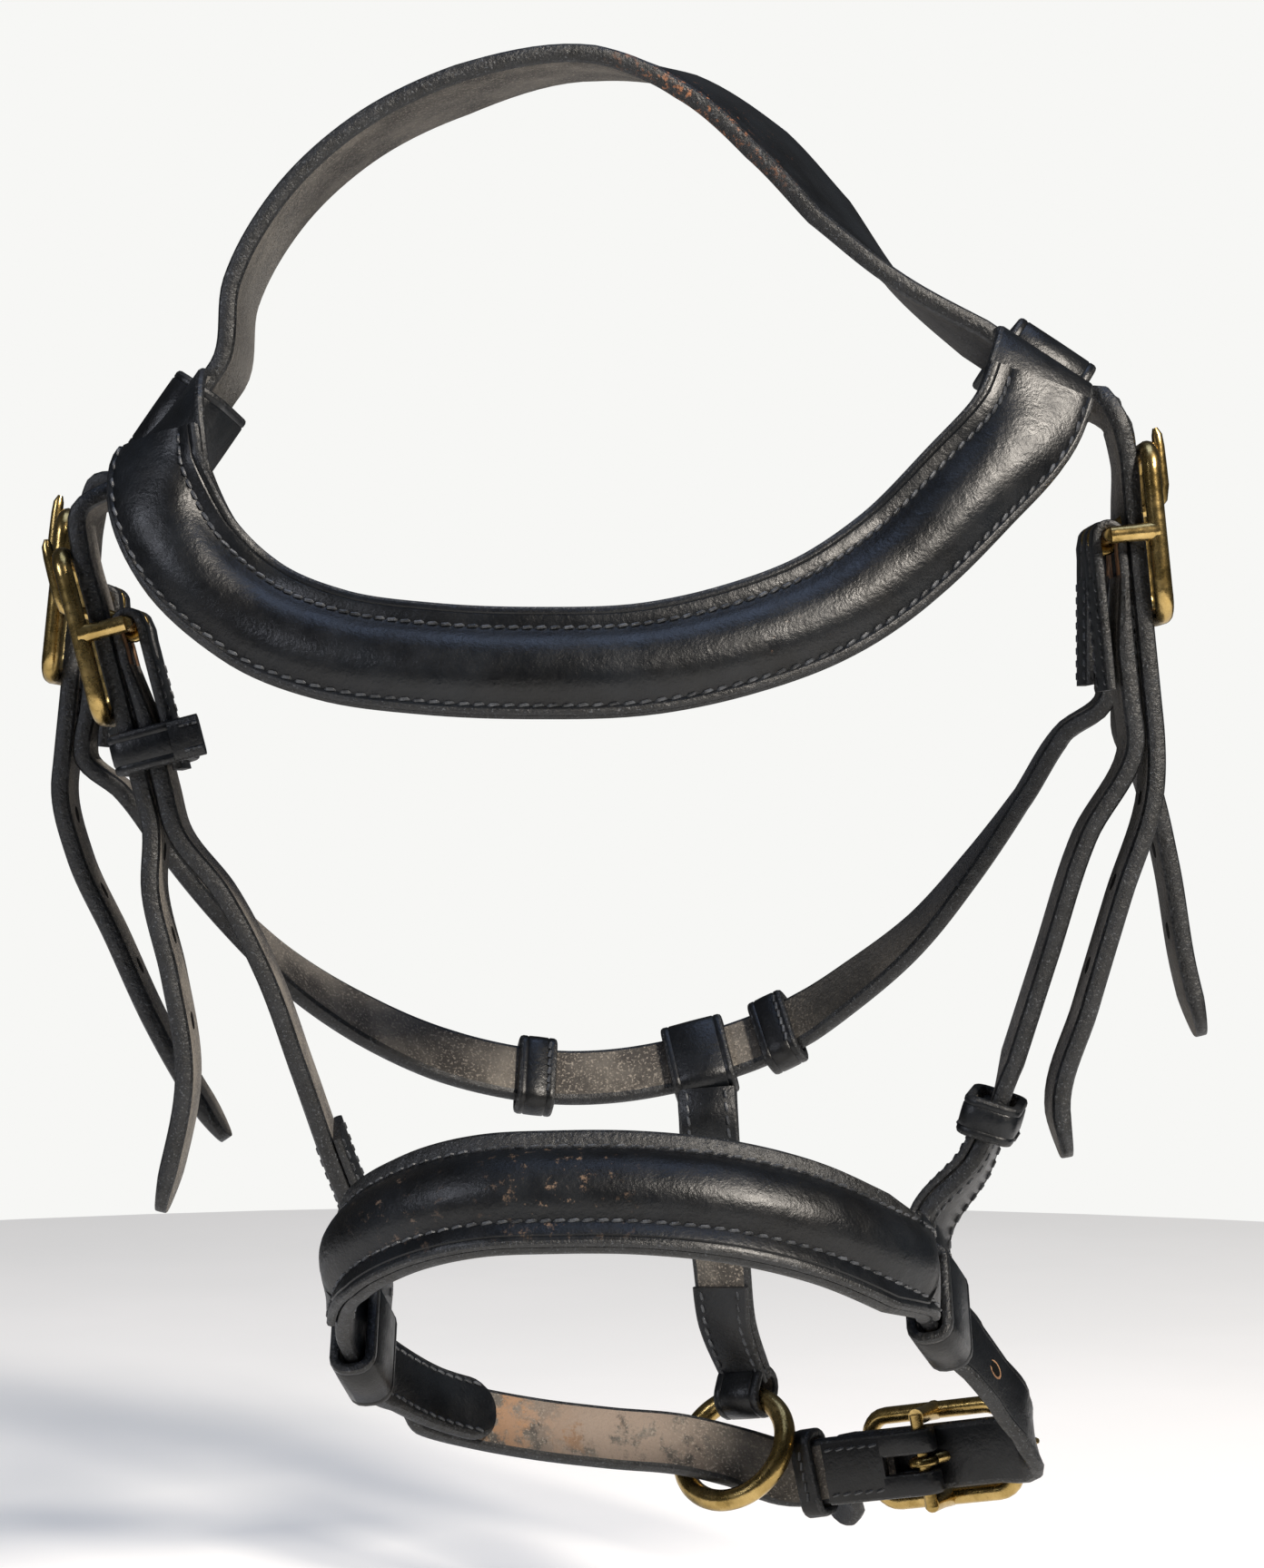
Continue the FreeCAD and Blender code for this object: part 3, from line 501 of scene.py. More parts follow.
# fold of the strap round the bar, with its tongue slot, and the lap end behind
def chape(piece, buckle, width, length, stitched=True):
    slot = sizes["tongue"] / 2 + 0.6
    prong = width / 2 - slot
    across = buckle.axes[1]
    for side in (-1, 1):
        middle = side * (slot + prong / 2)
        path = [buckle.at(-9, layerOffset, middle), buckle.at(-4, layerOffset, middle)]
        for k in range(1, 8):
            turn = math.pi / 2 - math.pi * k / 8
            path.append(buckle.at(layerOffset * math.cos(turn), layerOffset * math.sin(turn), middle))
        path += [buckle.at(-4, -layerOffset, middle), buckle.at(-9, -layerOffset, middle)]
        stations = smooth(path, [across] * len(path), same(len(path), prong - 0.1, sizes["skived"]), 2)
        piece.sweep(stations, strapSection(1, False, raw, 0.6), capKind=raw)
    lap = [buckle.at(-run, -layerOffset) for run in (8.5, 16, length - 6, length)]
    stations = smooth(lap, [across] * 4, same(4, width, sizes["skived"]))
    turn = 1 if stations[0][1].cross(stations[0][2]).dot(buckle.axes[2]) < 0 else -1
    piece.sweep(stations, strapSection(turn, False, flesh, 0.7), capKind=edge)
    if stitched:
        for side in (-1, 1):
            row = side * (width / 2 - sizes["stitchIn"])
            piece.stitches(stations, row, turn * sizes["skived"] / 2)

leftFork = Vector((-90, 0, -79))
rightFork = Vector((96, 0, -67))
leftAlong = Vector((0.57, 0, 0.82))
rightAlong = Vector((-0.83, 0, 0.55))
forks = {"left": (leftFork, leftAlong), "right": (rightFork, rightAlong)}
crownLine = [leftFork + leftAlong * run for run in (-9, -3, 11, 14)]
crownLine += [(-79, 0, -49), (-69, 0, -31), (-52, 0, -15), (-30, 0, -4), (0, 0, 2), (20, 0, -3)]
crownLine += [(38, 0, -16), (52, 0, -31), (66, 0, -46)]
crownLine += [rightFork + rightAlong * run for run in (14, 11, -3, -9)]
crownTilt = [0, 0, 0, 0, 0, 0, 0, 0, 6, 16, 21, 20, 9, 0, 0, 0, 0]
crownSides = []
for i, angle in enumerate(crownTilt):
    ahead = vec(crownLine[min(i + 1, len(crownLine) - 1)]) - vec(crownLine[max(i - 1, 0)])
    away = ahead.normalized().cross(Vector((0, -1, 0)))
    away *= 1 if away.z > 0 else -1
    lean = math.radians(angle)
    crownSides.append(Vector((0, 1, 0)) * math.cos(lean) + away * math.sin(lean))
crownStations = smooth(crownLine, crownSides, same(len(crownLine), sizes["crownWidth"], sizes["leather"]))
outside = facing(crownStations, (3, 0, -120))
headpiece = Piece("headpieceCrown")
headpiece.sweep(crownStations, strapSection(outside))
headpiece.finish("crown_strap", body="headpiece")

points = {
    "left_cheek": {
        "lane": -9, "flare": [(-104, -11.5, -94)],
        "hang": [(-96, -15, -182), (-92, -14, -200), (-89, -13, -222), (-93, -12, -244), (-95, -12, -252)],
    },
    "left_throat": {
        "lane": 9, "flare": [(-106, 14, -90)],
        "hang": [(-118, 18, -175), (-110, 20, -193), (-101, 21, -213), (-89, 22, -234), (-85, 22, -240)],
    },
    "right_cheek": {
        "lane": -9, "flare": [(111, -11.5, -76)],
        "hang": [(121, -15, -160), (114, -15, -183), (107, -14, -207), (101, -13, -229), (103, -13, -240)],
    },
    "right_throat": {
        "lane": 9, "flare": [(114, 14, -74)],
        "hang": [(125, 17, -157), (130, 18, -177), (134, 19, -200), (138, 19, -216)],
    },
}


# narrows the last stations into a rounded point
def roundTip(stations, reach):
    total = 0.0
    shaped = list(stations)
    for i in range(len(stations) - 1, 0, -1):
        place, direction, side, shape = shaped[i]
        share = min(1.0, total / reach)
        narrow = 0.22 + 0.78 * math.sqrt(1 - (1 - share) ** 2)
        shaped[i] = (place, direction, side, [shape[0] * narrow, shape[1] * (0.6 + 0.4 * share)])
        total += (stations[i][0] - stations[i - 1][0]).length
        if total > reach:
            break
    return shaped


# extra stations in the last stretch, for a smooth tip
def dense(stations, reach, count):
    last = stations[-2:]
    extra = []
    for k in range(count + 1):
        s = k / count
        mixed = [a * (1 - s) + b * s for a, b in zip(last[0][3], last[1][3])]
        extra.append((last[0][0].lerp(last[1][0], s), last[1][1], last[1][2], mixed))
    return stations[:-2] + extra


# row of punched holes down the grain side of a billet, measured from the line's start
def billetHoles(piece, stations, turn, first, pitch, count, thickness):
    travelled = 0.0
    wanted = first
    left = count
    for a, b in zip(stations, stations[1:]):
        gap = (b[0] - a[0]).length
        while left and wanted < travelled + gap:
            s = (wanted - travelled) / gap
            place = a[0].lerp(b[0], s)
            normal = a[1].cross(a[2]) * turn
            spot = place + normal * thickness / 2
            piece.disc(spot, normal, 2.1, raw, 0.04, 1.15, a[1])
            piece.disc(spot, normal, 1.6, shadow, 0.09, 1.15, a[1])
            other = place - normal * thickness / 2
            piece.disc(other, -normal, 1.7, shadow, 0.09, 1.15, a[1])
            wanted += pitch
            left -= 1
        travelled += gap


for name, look in points.items():
    buckle = buckles[name]
    fork, along = forks[name.split("_")[0]]
    lane = Vector((0, look["lane"], 0))
    start = [fork + lane + along * run for run in (8, 4, -11, -14)]
    inside = [buckle.at(26, billetOffset - 1.6), buckle.at(18, billetOffset)]
    inside += [buckle.at(run, billetOffset) for run in (8, -8, -30, -38, -42)]
    line = start + look["flare"] + inside + look["hang"]
    shapes = same(4, 17.6, sizes["leather"] - 0.1)
    shapes += same(len(line) - 4, sizes["pointWidth"], sizes["leather"])
    stations = smooth(line, same(len(line), 0, 1, 0), shapes)
    stations = roundTip(dense(stations, 8, 6), 9)
    turn = facing(stations[len(stations) // 3:], (3, 0, 0), (0, 0, 1))
    piece = Piece(name.replace("_", "") + "Point")
    piece.sweep(stations, strapSection(turn))
    billetHoles(piece, stations, turn, 96, 19, 4, sizes["leather"])
    item = piece.finish(name + "_point")
    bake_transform(item)
print("headpiece made")


def liningSection(turn, inner=flesh):
    return strapSection(turn, False, inner, 1.0)


# two flanges, stitch grooves and a full dome over the padding
def facingSection(shift, backing, turn=1):
    half0 = backing / 2 + 0.05
    skin = sizes["facing"]
    wide = sizes["padHalf"]

    def section(shape):
        half = shape[0] / 2
        top = half0 + skin
        r = 0.9
        groove = 0.35
        points = [(-half + 0.3, half0, edge), (-half, half0 + 0.7, edge)]
        points += [(-half + 0.3 * r, top - 0.35 * r, edge), (-half + r, top, grain)]
        low = shift - wide
        high = shift + wide
        span = low - (-half)
        if span > 4.2:
            points += [(-half + 1.7, top, grain), (-half + 2.0, top - 0.25, grain), (-half + 2.3, top, grain)]
        points += [(low - 1.5, top, grain), (low - 0.9, top - groove, grain), (low - 0.3, top, grain)]
        for k in range(1, 16):
            s = -1 + 2 * k / 16
            rise = sizes["padHeight"] * shape[1] * (1 - abs(s) ** 2.3) ** 0.85
            points.append((shift + s * wide, top + rise, grain))
        points += [(high + 0.3, top, grain), (high + 0.9, top - groove, grain), (high + 1.5, top, grain)]
        if half - high > 4.2:
            points += [(half - 2.3, top, grain), (half - 2.0, top - 0.25, grain), (half - 1.7, top, grain)]
        points += [(half - r, top, edge), (half - 0.3 * r, top - 0.35 * r, edge)]
        points += [(half, half0 + 0.7, edge), (half - 0.3, half0, edge)]
        return [(a, d * turn, kind) for a, d, kind in points]

    return section


# closed band of leather round a strap, its opening along the first axis
def sleeve(piece, seat, length, roomAcross, roomOut, wall, corner=2.6):
    hx = roomAcross / 2 + wall / 2
    hy = roomOut / 2 + wall / 2
    corner = min(corner, hx * 0.95, hy * 0.95)
    path = []
    for cx, cy, start in ((hx, hy, 0), (-hx, hy, 90), (-hx, -hy, 180), (hx, -hy, 270)):
        for k in range(5):
            turn = math.radians(start + 90 * k / 4)
            x = cx - math.copysign(corner, cx) + corner * math.cos(turn)
            y = cy - math.copysign(corner, cy) + corner * math.sin(turn)
            path.append((x, y))
    stations = []
    for i, (x, y) in enumerate(path):
        ahead = path[(i + 1) % len(path)]
        behind = path[i - 1]
        direction = seat.axes[1] * (ahead[0] - behind[0]) + seat.axes[2] * (ahead[1] - behind[1])
        stations.append((seat.at(0, y, x), direction.normalized(), seat.axes[0], [length, wall]))
    away = stations[2][1].cross(stations[2][2]).dot(stations[2][0] - seat.origin)
    turn = 1 if away > 0 else -1
    creased = wall > 1.9 and length > 8
    piece.sweep(stations, strapSection(turn, creased, flesh, 0.8), closed=True)


loopRoom = sizes["crownWidth"] + 6.0
loopDepth = sizes["leather"] + 4.4
loopWall = sizes["lining"]
frontWall = -loopRoom / 2 - loopWall / 2
browLine = [
    (leftFork.x, frontWall, leftFork.z), (-90, -29, -80), (-91.5, -37.5, -94), (-85, -42, -110),
    (-71, -45, -123), (-54, -50, -130), (-34, -54, -133), (-12, -56, -134), (12, -56, -133),
    (30, -54, -129), (48, -50, -122), (64, -45, -111), (78, -41, -97), (91, -37, -82),
    (96, -29, -68), (rightFork.x, frontWall, rightFork.z),
]
browUp = Vector((0, 0.35, 0.94))
browSides = [leftAlong] * 3 + [leftAlong * 0.5 + browUp * 0.5] + [browUp] * 8
browSides += [rightAlong * 0.5 + browUp * 0.5] + [rightAlong] * 3
browStations = smooth(browLine, browSides, same(len(browLine), sizes["browWidth"], sizes["lining"]), 8)
lining = Piece("browbandLining")
lining.sweep(browStations, liningSection(1))
for fork, along, out in ((leftFork, leftAlong, (-1, 0, 0)), (rightFork, rightAlong, (1, 0, 0))):
    seat = Seat(fork - along * 1.5, basis(along, out))
    sleeve(lining, seat, 20.0, loopRoom - 3.0, loopDepth - 1.4, 3.2, 5.2)
lining.finish("browband_lining", body="headpiece")
browShift = -1.6


# stations of a facing: the second shape number is the dome's height, low at both ends
def tapered(stations, reach):
    last = len(stations) - 1
    shaped = []
    for i, (place, direction, side, shape) in enumerate(stations):
        share = min(1.0, min(i, last - i) / reach)
        shaped.append((place, direction, side, [shape[0], 0.12 + 0.88 * share * share * (3 - 2 * share)]))
    return shaped


cover = Piece("browbandFacing")
coverStations = tapered(browStations[8:-8], 14)
cover.sweep(coverStations, facingSection(browShift, sizes["lining"]))
rowDepth = sizes["lining"] / 2 + sizes["facing"] - 0.1
for row in (browShift - sizes["padHalf"] - 0.9, browShift + sizes["padHalf"] + 0.9):
    cover.stitches(coverStations, row, rowDepth)
    cover.stitches(coverStations, row, -sizes["lining"] / 2 - 0.02)
browbandCover = cover.finish("browband_facing", "browband_padding", body="headpiece")
print("browband made")

noseUp = Vector((0, 0.59, 0.81))
noseBuckle = buckles["noseband"]
noseAcross = noseBuckle.axes[1] * -1
leftLoop = Vector((-51, -9, -281))
rightLoop = Vector((75, -12, -273))
leftRun = Vector((-0.2, -0.77, 0.61))
rightRun = Vector((0.37, 0.77, -0.55))
noseFront = [
    (-53, -28, -264), (-49, -38, -255), (-39, -47, -248), (-23, -55, -243), (-8, -57, -242),
    (10, -58, -242), (28, -57, -244), (46, -52, -249), (60, -43, -256), (69, -31, -262),
]
backWidth = sizes["backWidth"]
loopWidth = backWidth + 3
noseLine = [(-24, 27, -304), (-27, 25, -303), (-36, 18, -299), (-45, 7, -292)]
noseLine += [leftLoop + leftRun * run for run in (-11, -8, 8, 11)] + noseFront
noseLine += [rightLoop + rightRun * run for run in (-11, -8, 8, 11)]
noseLine += [(84, -0.5, -285), (90, 4, -293), (95.5, 8, -301), noseBuckle.at(24, billetOffset - 2)]
noseLine += [noseBuckle.at(run, billetOffset) for run in (16, 8, -8, -18, -22)]
noseLine += [noseBuckle.at(-27, billetOffset + 3, 7), noseBuckle.at(-30, billetOffset + 4.5, 13)]
noseWidths = [backWidth, backWidth, backWidth, backWidth + 1] + [loopWidth] * 4
noseWidths += [loopWidth + 4] + [sizes["noseWidth"]] * 8 + [loopWidth + 4] + [loopWidth] * 4
noseWidths += [backWidth + 1] + [backWidth] * 10
noseShapes = [(width, sizes["noseLeather"]) for width in noseWidths]
noseSides = [noseUp] * 24 + [noseUp * 0.4 + noseAcross * 0.6] + [noseAcross] * 8
noseStations = smooth(noseLine, noseSides, noseShapes)
turn = facing(noseStations, (10, -5, -280))
tipped = roundTip(dense(noseStations, 8, 6), 8)
tipped = roundTip(dense(tipped[::-1], 8, 5), 7)[::-1]
nose = Piece("nosebandStrap")
nose.sweep(tipped, strapSection(turn, True, grain))
backRow = [station for station in noseStations if station[0].y > -6 and station[0].x < 0]
for side in (-1, 1):
    nose.stitches(backRow, side * (backWidth / 2 - 1.9), turn * -1 * sizes["noseLeather"] / 2, skip=1.2)
billetStart = [i for i, station in enumerate(noseStations) if station[0].x > 79 and station[0].y > -4][0]
billetHoles(nose, noseStations[billetStart:], turn, 4, 11, 2, sizes["noseLeather"])
nose.finish("noseband_strap", body="hanging_straps")
first = min(i for i, s in enumerate(noseStations) if (s[0] - vec(noseFront[0])).length < 3)
last = max(i for i, s in enumerate(noseStations) if (s[0] - vec(noseFront[-1])).length < 3)
noseCover = Piece("nosebandFacing")
coverStations = tapered(noseStations[first - 1:last + 2], 7)
noseCover.sweep(coverStations, facingSection(0.0, sizes["noseLeather"], turn))
rowDepth = (sizes["noseLeather"] / 2 + sizes["facing"] - 0.1) * turn
for row in (-sizes["padHalf"] - 0.9, sizes["padHalf"] + 0.9):
    noseCover.stitches(coverStations, row, rowDepth)
    noseCover.stitches(coverStations, row, -turn * (sizes["noseLeather"] / 2 + 0.02))
nosebandCover = noseCover.finish("noseband_facing", "noseband_padding", body="hanging_straps")
print("noseband made")

backLine = [(-44, 14.7, -297.2), (-39.2, 20.4, -300.8), (-29.7, 28, -305), (-15, 34, -309), (3, 38, -312)]
backLine += [(20, 40, -314), (32, 41, -317), noseBuckle.at(-36, chapeInset), noseBuckle.at(-24, chapeInset)]
backLine += [noseBuckle.at(-8.5, layerOffset)]
backSides = [noseUp] * (len(backLine) - 3) + [noseAcross] * 3
backShapes = same(len(backLine) - 1, backWidth, sizes["leather"]) + [(backWidth, sizes["skived"])]
backStations = smooth(backLine, backSides, backShapes)
turn = facing(backStations, (10, -5, -290))
back = Piece("nosebandBackStrap")
back.sweep(roundTip(dense(backStations[::-1], 8, 5), 7)[::-1], strapSection(turn))
chape(back, noseBuckle, backWidth, 24.0)
back.finish("noseband_back_strap", body="hanging_straps")


def cheekpiece(side, route, loopPlace, loopRun, out):
    name = side + "_cheek"
    buckle = buckles[name]
    room = loopWidth + 1.0
    wall = sizes["lining"]
    axes = basis(loopRun, out)
    across = axes[1] if axes[1].z > 0 else -axes[1]
    bottom = [loopPlace + across * (room / 2 + reach * wall) for reach in (3.8, 0.75)]
    top = [buckle.at(-8.5, layerOffset)] + [buckle.at(run, chapeInset) for run in (-24, -36, -45)]
    line = top + route + bottom
    run = loopRun if loopRun.y > 0 else -loopRun
    sides = same(len(line) - 3, 0, 1, 0) + [Vector((0, 1, 0)) + run, run, run]
    shapes = [(sizes["cheekWidth"], sizes["skived"])]
    shapes += same(len(line) - 1, sizes["cheekWidth"], sizes["leather"])
    stations = smooth(line, sides, shapes)
    turn = facing(stations, (3, 0, 0), (0, 0, 1))
    piece = Piece(side + "Cheekpiece")
    piece.sweep(stations, strapSection(turn))
    chape(piece, buckle, sizes["cheekWidth"], 33.0)
    top = [s for s in stations if (s[0] - buckle.origin).length < 34]
    stitchRow = sizes["cheekWidth"] / 2 - sizes["stitchIn"]
    for edgeSide in (-1, 1):
        piece.stitches(top, edgeSide * stitchRow, turn * sizes["leather"] / 2)
    seat = Seat(loopPlace, axes)
    sleeve(piece, seat, 17.0, room, sizes["noseLeather"] + 2.0, wall, 3.0)
    low = [s for s in stations if (s[0] - loopPlace).length < 48]
    lap = [(s[0] - s[1].cross(s[2]) * turn * 2.9, s[1], s[2], [sizes["cheekWidth"] - 0.4, 2.0]) for s in low]
    piece.sweep(lap, strapSection(-turn, False, flesh, 0.7))
    for edgeSide in (-1, 1):
        piece.stitches(lap, edgeSide * (sizes["cheekWidth"] / 2 - 2.2), -turn * 1.0)
        piece.stitches(low, edgeSide * (sizes["cheekWidth"] / 2 - 2.2), turn * sizes["leather"] / 2)
    piece.finish(side + "_cheekpiece", body="hanging_straps")
    return stations


cheekpiece(
    "left", [(-81, -13, -182), (-72, -10, -200), (-65, -5, -221), (-59, 0, -240), (-54, 3.6, -255)],
    leftLoop, leftRun, (-1, 0, 0),
)
rightCheek = cheekpiece(
    "right", [(107, -12, -170), (99, -9, -196), (92, -6.5, -219), (85, -4, -242)],
    rightLoop, rightRun, (1, 0, 0),
)
print("cheekpieces made")

throatLine = [buckles["left_throat"].at(-8.5, layerOffset)]
throatLine += [buckles["left_throat"].at(run, chapeInset) for run in (-24, -36)]
throatLine += [(-108, 18, -160), (-98, 22, -174), (-86, 26, -188), (-71, 33, -203), (-55, 39, -214)]
throatLine += [(-36, 45, -223), (-21, 48, -227), (-15, 49, -228), (-9, 49.5, -228.5), (5, 50, -228)]
throatLine += [(14, 50, -226.6), (17, 50, -226), (33, 49.4, -221.6), (36, 49.2, -220.5), (49, 46.5, -214)]
throatLine += [(60, 42, -206), (74, 37, -194), (87, 32, -178), (98, 27, -162), (107, 22, -147)]
throatLine += [buckles["right_throat"].at(run, chapeInset) for run in (-36, -24)]
throatLine += [buckles["right_throat"].at(-8.5, layerOffset)]
throatSides = same(5, 0, 1, 0) + [(0, 1, 0.3), (0, 0.8, 0.5), (0, 0.7, 0.7)] + same(10, 0, 0.6, 0.8)
throatSides += [(0, 0.7, 0.7), (0, 0.8, 0.5), (0, 1, 0.3)] + same(5, 0, 1, 0)
throatShapes = same(len(throatLine) - 2, sizes["throatWidth"], sizes["leather"])
throatShapes = [(15.0, sizes["skived"])] + throatShapes + [(15.0, sizes["skived"])]
throatStations = smooth(throatLine, throatSides, throatShapes)
turn = facing(throatStations, (3, 0, -150))
throat = Piece("throatStrap")
throat.sweep(throatStations, strapSection(turn))
for name in ("left_throat", "right_throat"):
    chape(throat, buckles[name], sizes["pointWidth"], 33.0)
    near = [s for s in throatStations if (s[0] - buckles[name].origin).length < 34]
    for side in (-1, 1):
        throat.stitches(near, side * (sizes["throatWidth"] / 2 - 1.8), turn * sizes["leather"] / 2)
throat.finish("throat_strap", body="hanging_straps")

place, run, up, _ = nearest(backStations, (34, 41, -317))
ringTurn = math.radians(46)
outward = run.cross(up) if run.cross(up).y > 0 else up.cross(run)
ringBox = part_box("lead_ring")
ringMiddle = (ringBox[0] + ringBox[1]) * 500
ringAxis = (outward * math.cos(ringTurn) + run * math.sin(ringTurn)).normalized()
ringRight = (run * math.cos(ringTurn) - outward * math.sin(ringTurn)).normalized()
ringRadius = (sizes["ringInner"] + sizes["ringWire"]) / 2
ringUp = ringAxis.cross(ringRight)
circle = []
for k in range(96):
    turn = 2 * math.pi * k / 96
    circle.append(ringMiddle + (ringRight * math.cos(turn) + ringUp * math.sin(turn)) * ringRadius)
leadRing = Piece("leadRing", ["brass"])
leadRing.tube(circle, sizes["ringWire"] / 2, 0, 24, closed=True)
leadRing.finish("lead_ring", body="ring_body")

foldWidth = 12.0
foldPlace = ringMiddle + up * ringRadius
connector = Piece("connectorStrap")
foldSeat = Seat(foldPlace + up * 1.2, (ringRight, up.cross(ringRight), up))
sleeve(connector, foldSeat, foldWidth, 5.8, 8.2, 2.2, 3.4)
topPlace, topRun, topUp, _ = nearest(throatStations, (25, 50, -224))
topOut = topUp.cross(topRun)
topRoom = sizes["throatWidth"] + 1.0
topSeat = Seat(topPlace, (topRun, topOut.cross(topRun), topOut))
sleeve(connector, topSeat, sizes["connectorWidth"] + 1, topRoom, sizes["leather"] + 1.5, sizes["lining"], 2.6)
connectorLine = [
    topPlace - topUp * (topRoom / 2 + 0.75 * sizes["lining"]), (26, 42, -236), (27, 43, -252),
    (29, 45, -270), (31, 47, -286), foldPlace + up * 5.3,
]
connectorSides = [topRun, topRun, (1, 0, 0), ringRight + topRun, ringRight, ringRight]
connectorStations = smooth(connectorLine, connectorSides, same(5, 14.0, 3.4) + [(12.0, 3.4)])
turn = facing(connectorStations, (3, -200, -260))
connector.sweep(connectorStations, strapSection(turn))
upperPart = [s for s in connectorStations if s[0].z > -256]
lowerPart = [s for s in connectorStations if s[0].z < -277]
for part in (upperPart, lowerPart):
    lap = [(s[0] - s[1].cross(s[2]) * turn * 2.4, s[1], s[2], [s[3][0] - 0.3, 1.8]) for s in part]
    connector.sweep(lap, strapSection(-turn, False, flesh, 0.6))
    for side in (-1, 1):
        connector.stitches(lap, side * 4.6, -turn * 0.9)
connector.finish("connector_strap", body="hanging_straps")
print("throat strap and connector made")


def roundedPath(halfLong, halfWide, corner):
    path = []
    for sx, sy, start in ((1, 1, 0), (-1, 1, 90), (-1, -1, 180), (1, -1, 270)):
        for k in range(7):
            turn = math.radians(start + 15 * k)
            x = sx * (halfLong - corner) + corner * math.cos(turn)
            y = sy * (halfWide - corner) + corner * math.sin(turn)
            path.append((x, y))
    return path


for name, buckle in buckles.items():
    gap = (backWidth if name == "noseband" else sizes["pointWidth"]) + sizes["buckleGap"]
    halfLong = (sizes["buckleLength"] - sizes["wire"]) / 2
    halfWide = (gap + sizes["wire"]) / 2
    piece = Piece(name.replace("_", "") + "Buckle", ["brass"])
    path = roundedPath(halfLong, halfWide, 5.2)
    rim = []
    for x, y in path:
        bow = 1.0 * (1 - (x / halfLong) ** 2)
        rim.append(buckle.at(x, frameOffset - bow * 0.5, y))
    piece.tube(rim, 2.0, 0, 16, closed=True)
    for side in (-1, 1):
        foot = [buckle.at(0, frameOffset * rise, side * halfWide) for rise in (1, 0.55, 0)]
        piece.tube(foot, [2.3, 1.9, 1.9], 0, 14)
    piece.tube([buckle.at(0, 0, -halfWide - 0.6), buckle.at(0, 0, halfWide + 0.6)], sizes["bar"] / 2, 0, 16)
    piece.finish(name + "_buckle", body="hanging_straps")
    half = sizes["tongue"] / 2
    rest = frameOffset + 2.0 + half + 0.2
    eye = []
    for k in range(20):
        angle = 2 * math.pi * k / 20
        eye.append(buckle.at(2.5 * math.cos(angle), 2.5 * math.sin(angle)))
    tongue = Piece(name.replace("_", "") + "Tongue", ["brass"])
    tongue.tube(eye, 1.0, 0, 10, 1.3, closed=True)
    spine = [(1.8, 1.6), (2.8, 3.4), (4.4, billetOffset), (5.9, rest - 2.0), (7.6, rest - 0.5)]
    spine += [(10.5, rest), (15, rest), (19, rest), (21.5, rest - 0.1), (23, rest - 0.4)]
    girth = [1.2, 1.35, 1.4, 1.4, 1.45, 1.5, 1.45, 1.35, 1.2, 0.6]
    tongue.tube([buckle.at(a, o) for a, o in spine], girth, 0, 14)
    tongue.finish(name + "_tongue", body=name + "_tongue_body")
print("buckles made")


# loop with stitched seams: out side, place along the strap, and the seam's two ends across it
def keeper(name, node, seat, room, depth, length, body, seams, tab=None):
    piece = Piece(name)
    wall = sizes["keeperWall"]
    sleeve(piece, seat, length, room, depth, wall, 2.4)
    face = depth / 2 + wall + 0.02
    for sign, along, start, end in seams:
        count = max(1, round(abs(end - start) / 2.4))
        for k in range(count):
            middle = seat.at(along, sign * face, start + (end - start) * (k + 0.5) / count)
            run = (seat.axes[1] + seat.axes[0] * 0.2).normalized() * 0.95
            piece.tube([middle - run, middle + run], sizes["stitchRadius"], thread, 6)
    if tab:
        high, reach = tab
        across = -(room + wall) / 2
        line = [seat.at(0, -face + drop, across) for drop in (high, -reach / 2, -reach)]
        stations = smooth(line, [seat.axes[0]] * 3, same(3, length, 4.2))
        piece.sweep(stations, strapSection(1, False, grain))
        for k in range(3):
            for side in (-1, 1):
                middle = seat.at(side * length * 0.3, -face - reach * (k + 0.5) / 3.4, across - 2.15)
                run = seat.axes[2] * 0.9
                piece.tube([middle - run, middle + run], sizes["stitchRadius"], thread, 6)
    piece.finish(node, body=body)


leftCheek = buckles["left_cheek"]
stack = foldRadius + billetOffset + sizes["leather"] / 2
keeper(
    "leftCheekKeeper", "left_cheek_keeper", Seat(leftCheek.at(-27, stack / 2 - foldRadius), leftCheek.axes),
    17.0, stack + 0.6, 9.0, "left_keeper_body", [(-1, 3, -6, 6), (-1, -3, -6, 6)], (3.0, 3.6),
)
place, run, up, _ = nearest(rightCheek, (88, -5, -232))
lapSide = run.cross(up) * -facing(rightCheek, (3, 0, 0), (0, 0, 1))  # this keeper also holds the lap's end
keeper(
    "rightCheekKeeper", "right_cheek_keeper", Seat(place + lapSide * 0.95, (run, up, run.cross(up))),
    17.0, sizes["leather"] + 4.4, 9.0, "right_keeper_body", [(1, 3, -6, 6), (-1, 3, -6, 6)],
)
for name, target in (("left", (-15, 49, -228)), ("right", (43, 48, -217))):
    place, run, up, _ = nearest(throatStations, target)
    keeper(
        name + "ThroatRunner", name + "_throat_runner", Seat(place, (run, up, run.cross(up))),
        15.0, sizes["leather"] + 1.0, 9.0, name + "_runner_body", [(1, 2.6, -7, 7), (-1, 2.6, -7, 7)],
    )
place, run, up, _ = nearest(backStations, noseBuckle.at(-31, chapeInset))
keeper(
    "nosebandRunner", "noseband_runner", Seat(place + run * 1.0, (run, up, run.cross(up))),
    16.0, sizes["leather"] + 1.0, 5.5, "hanging_straps", [(1, 0, -6, 6), (-1, 0, -6, 6)],
)
print("keepers made")

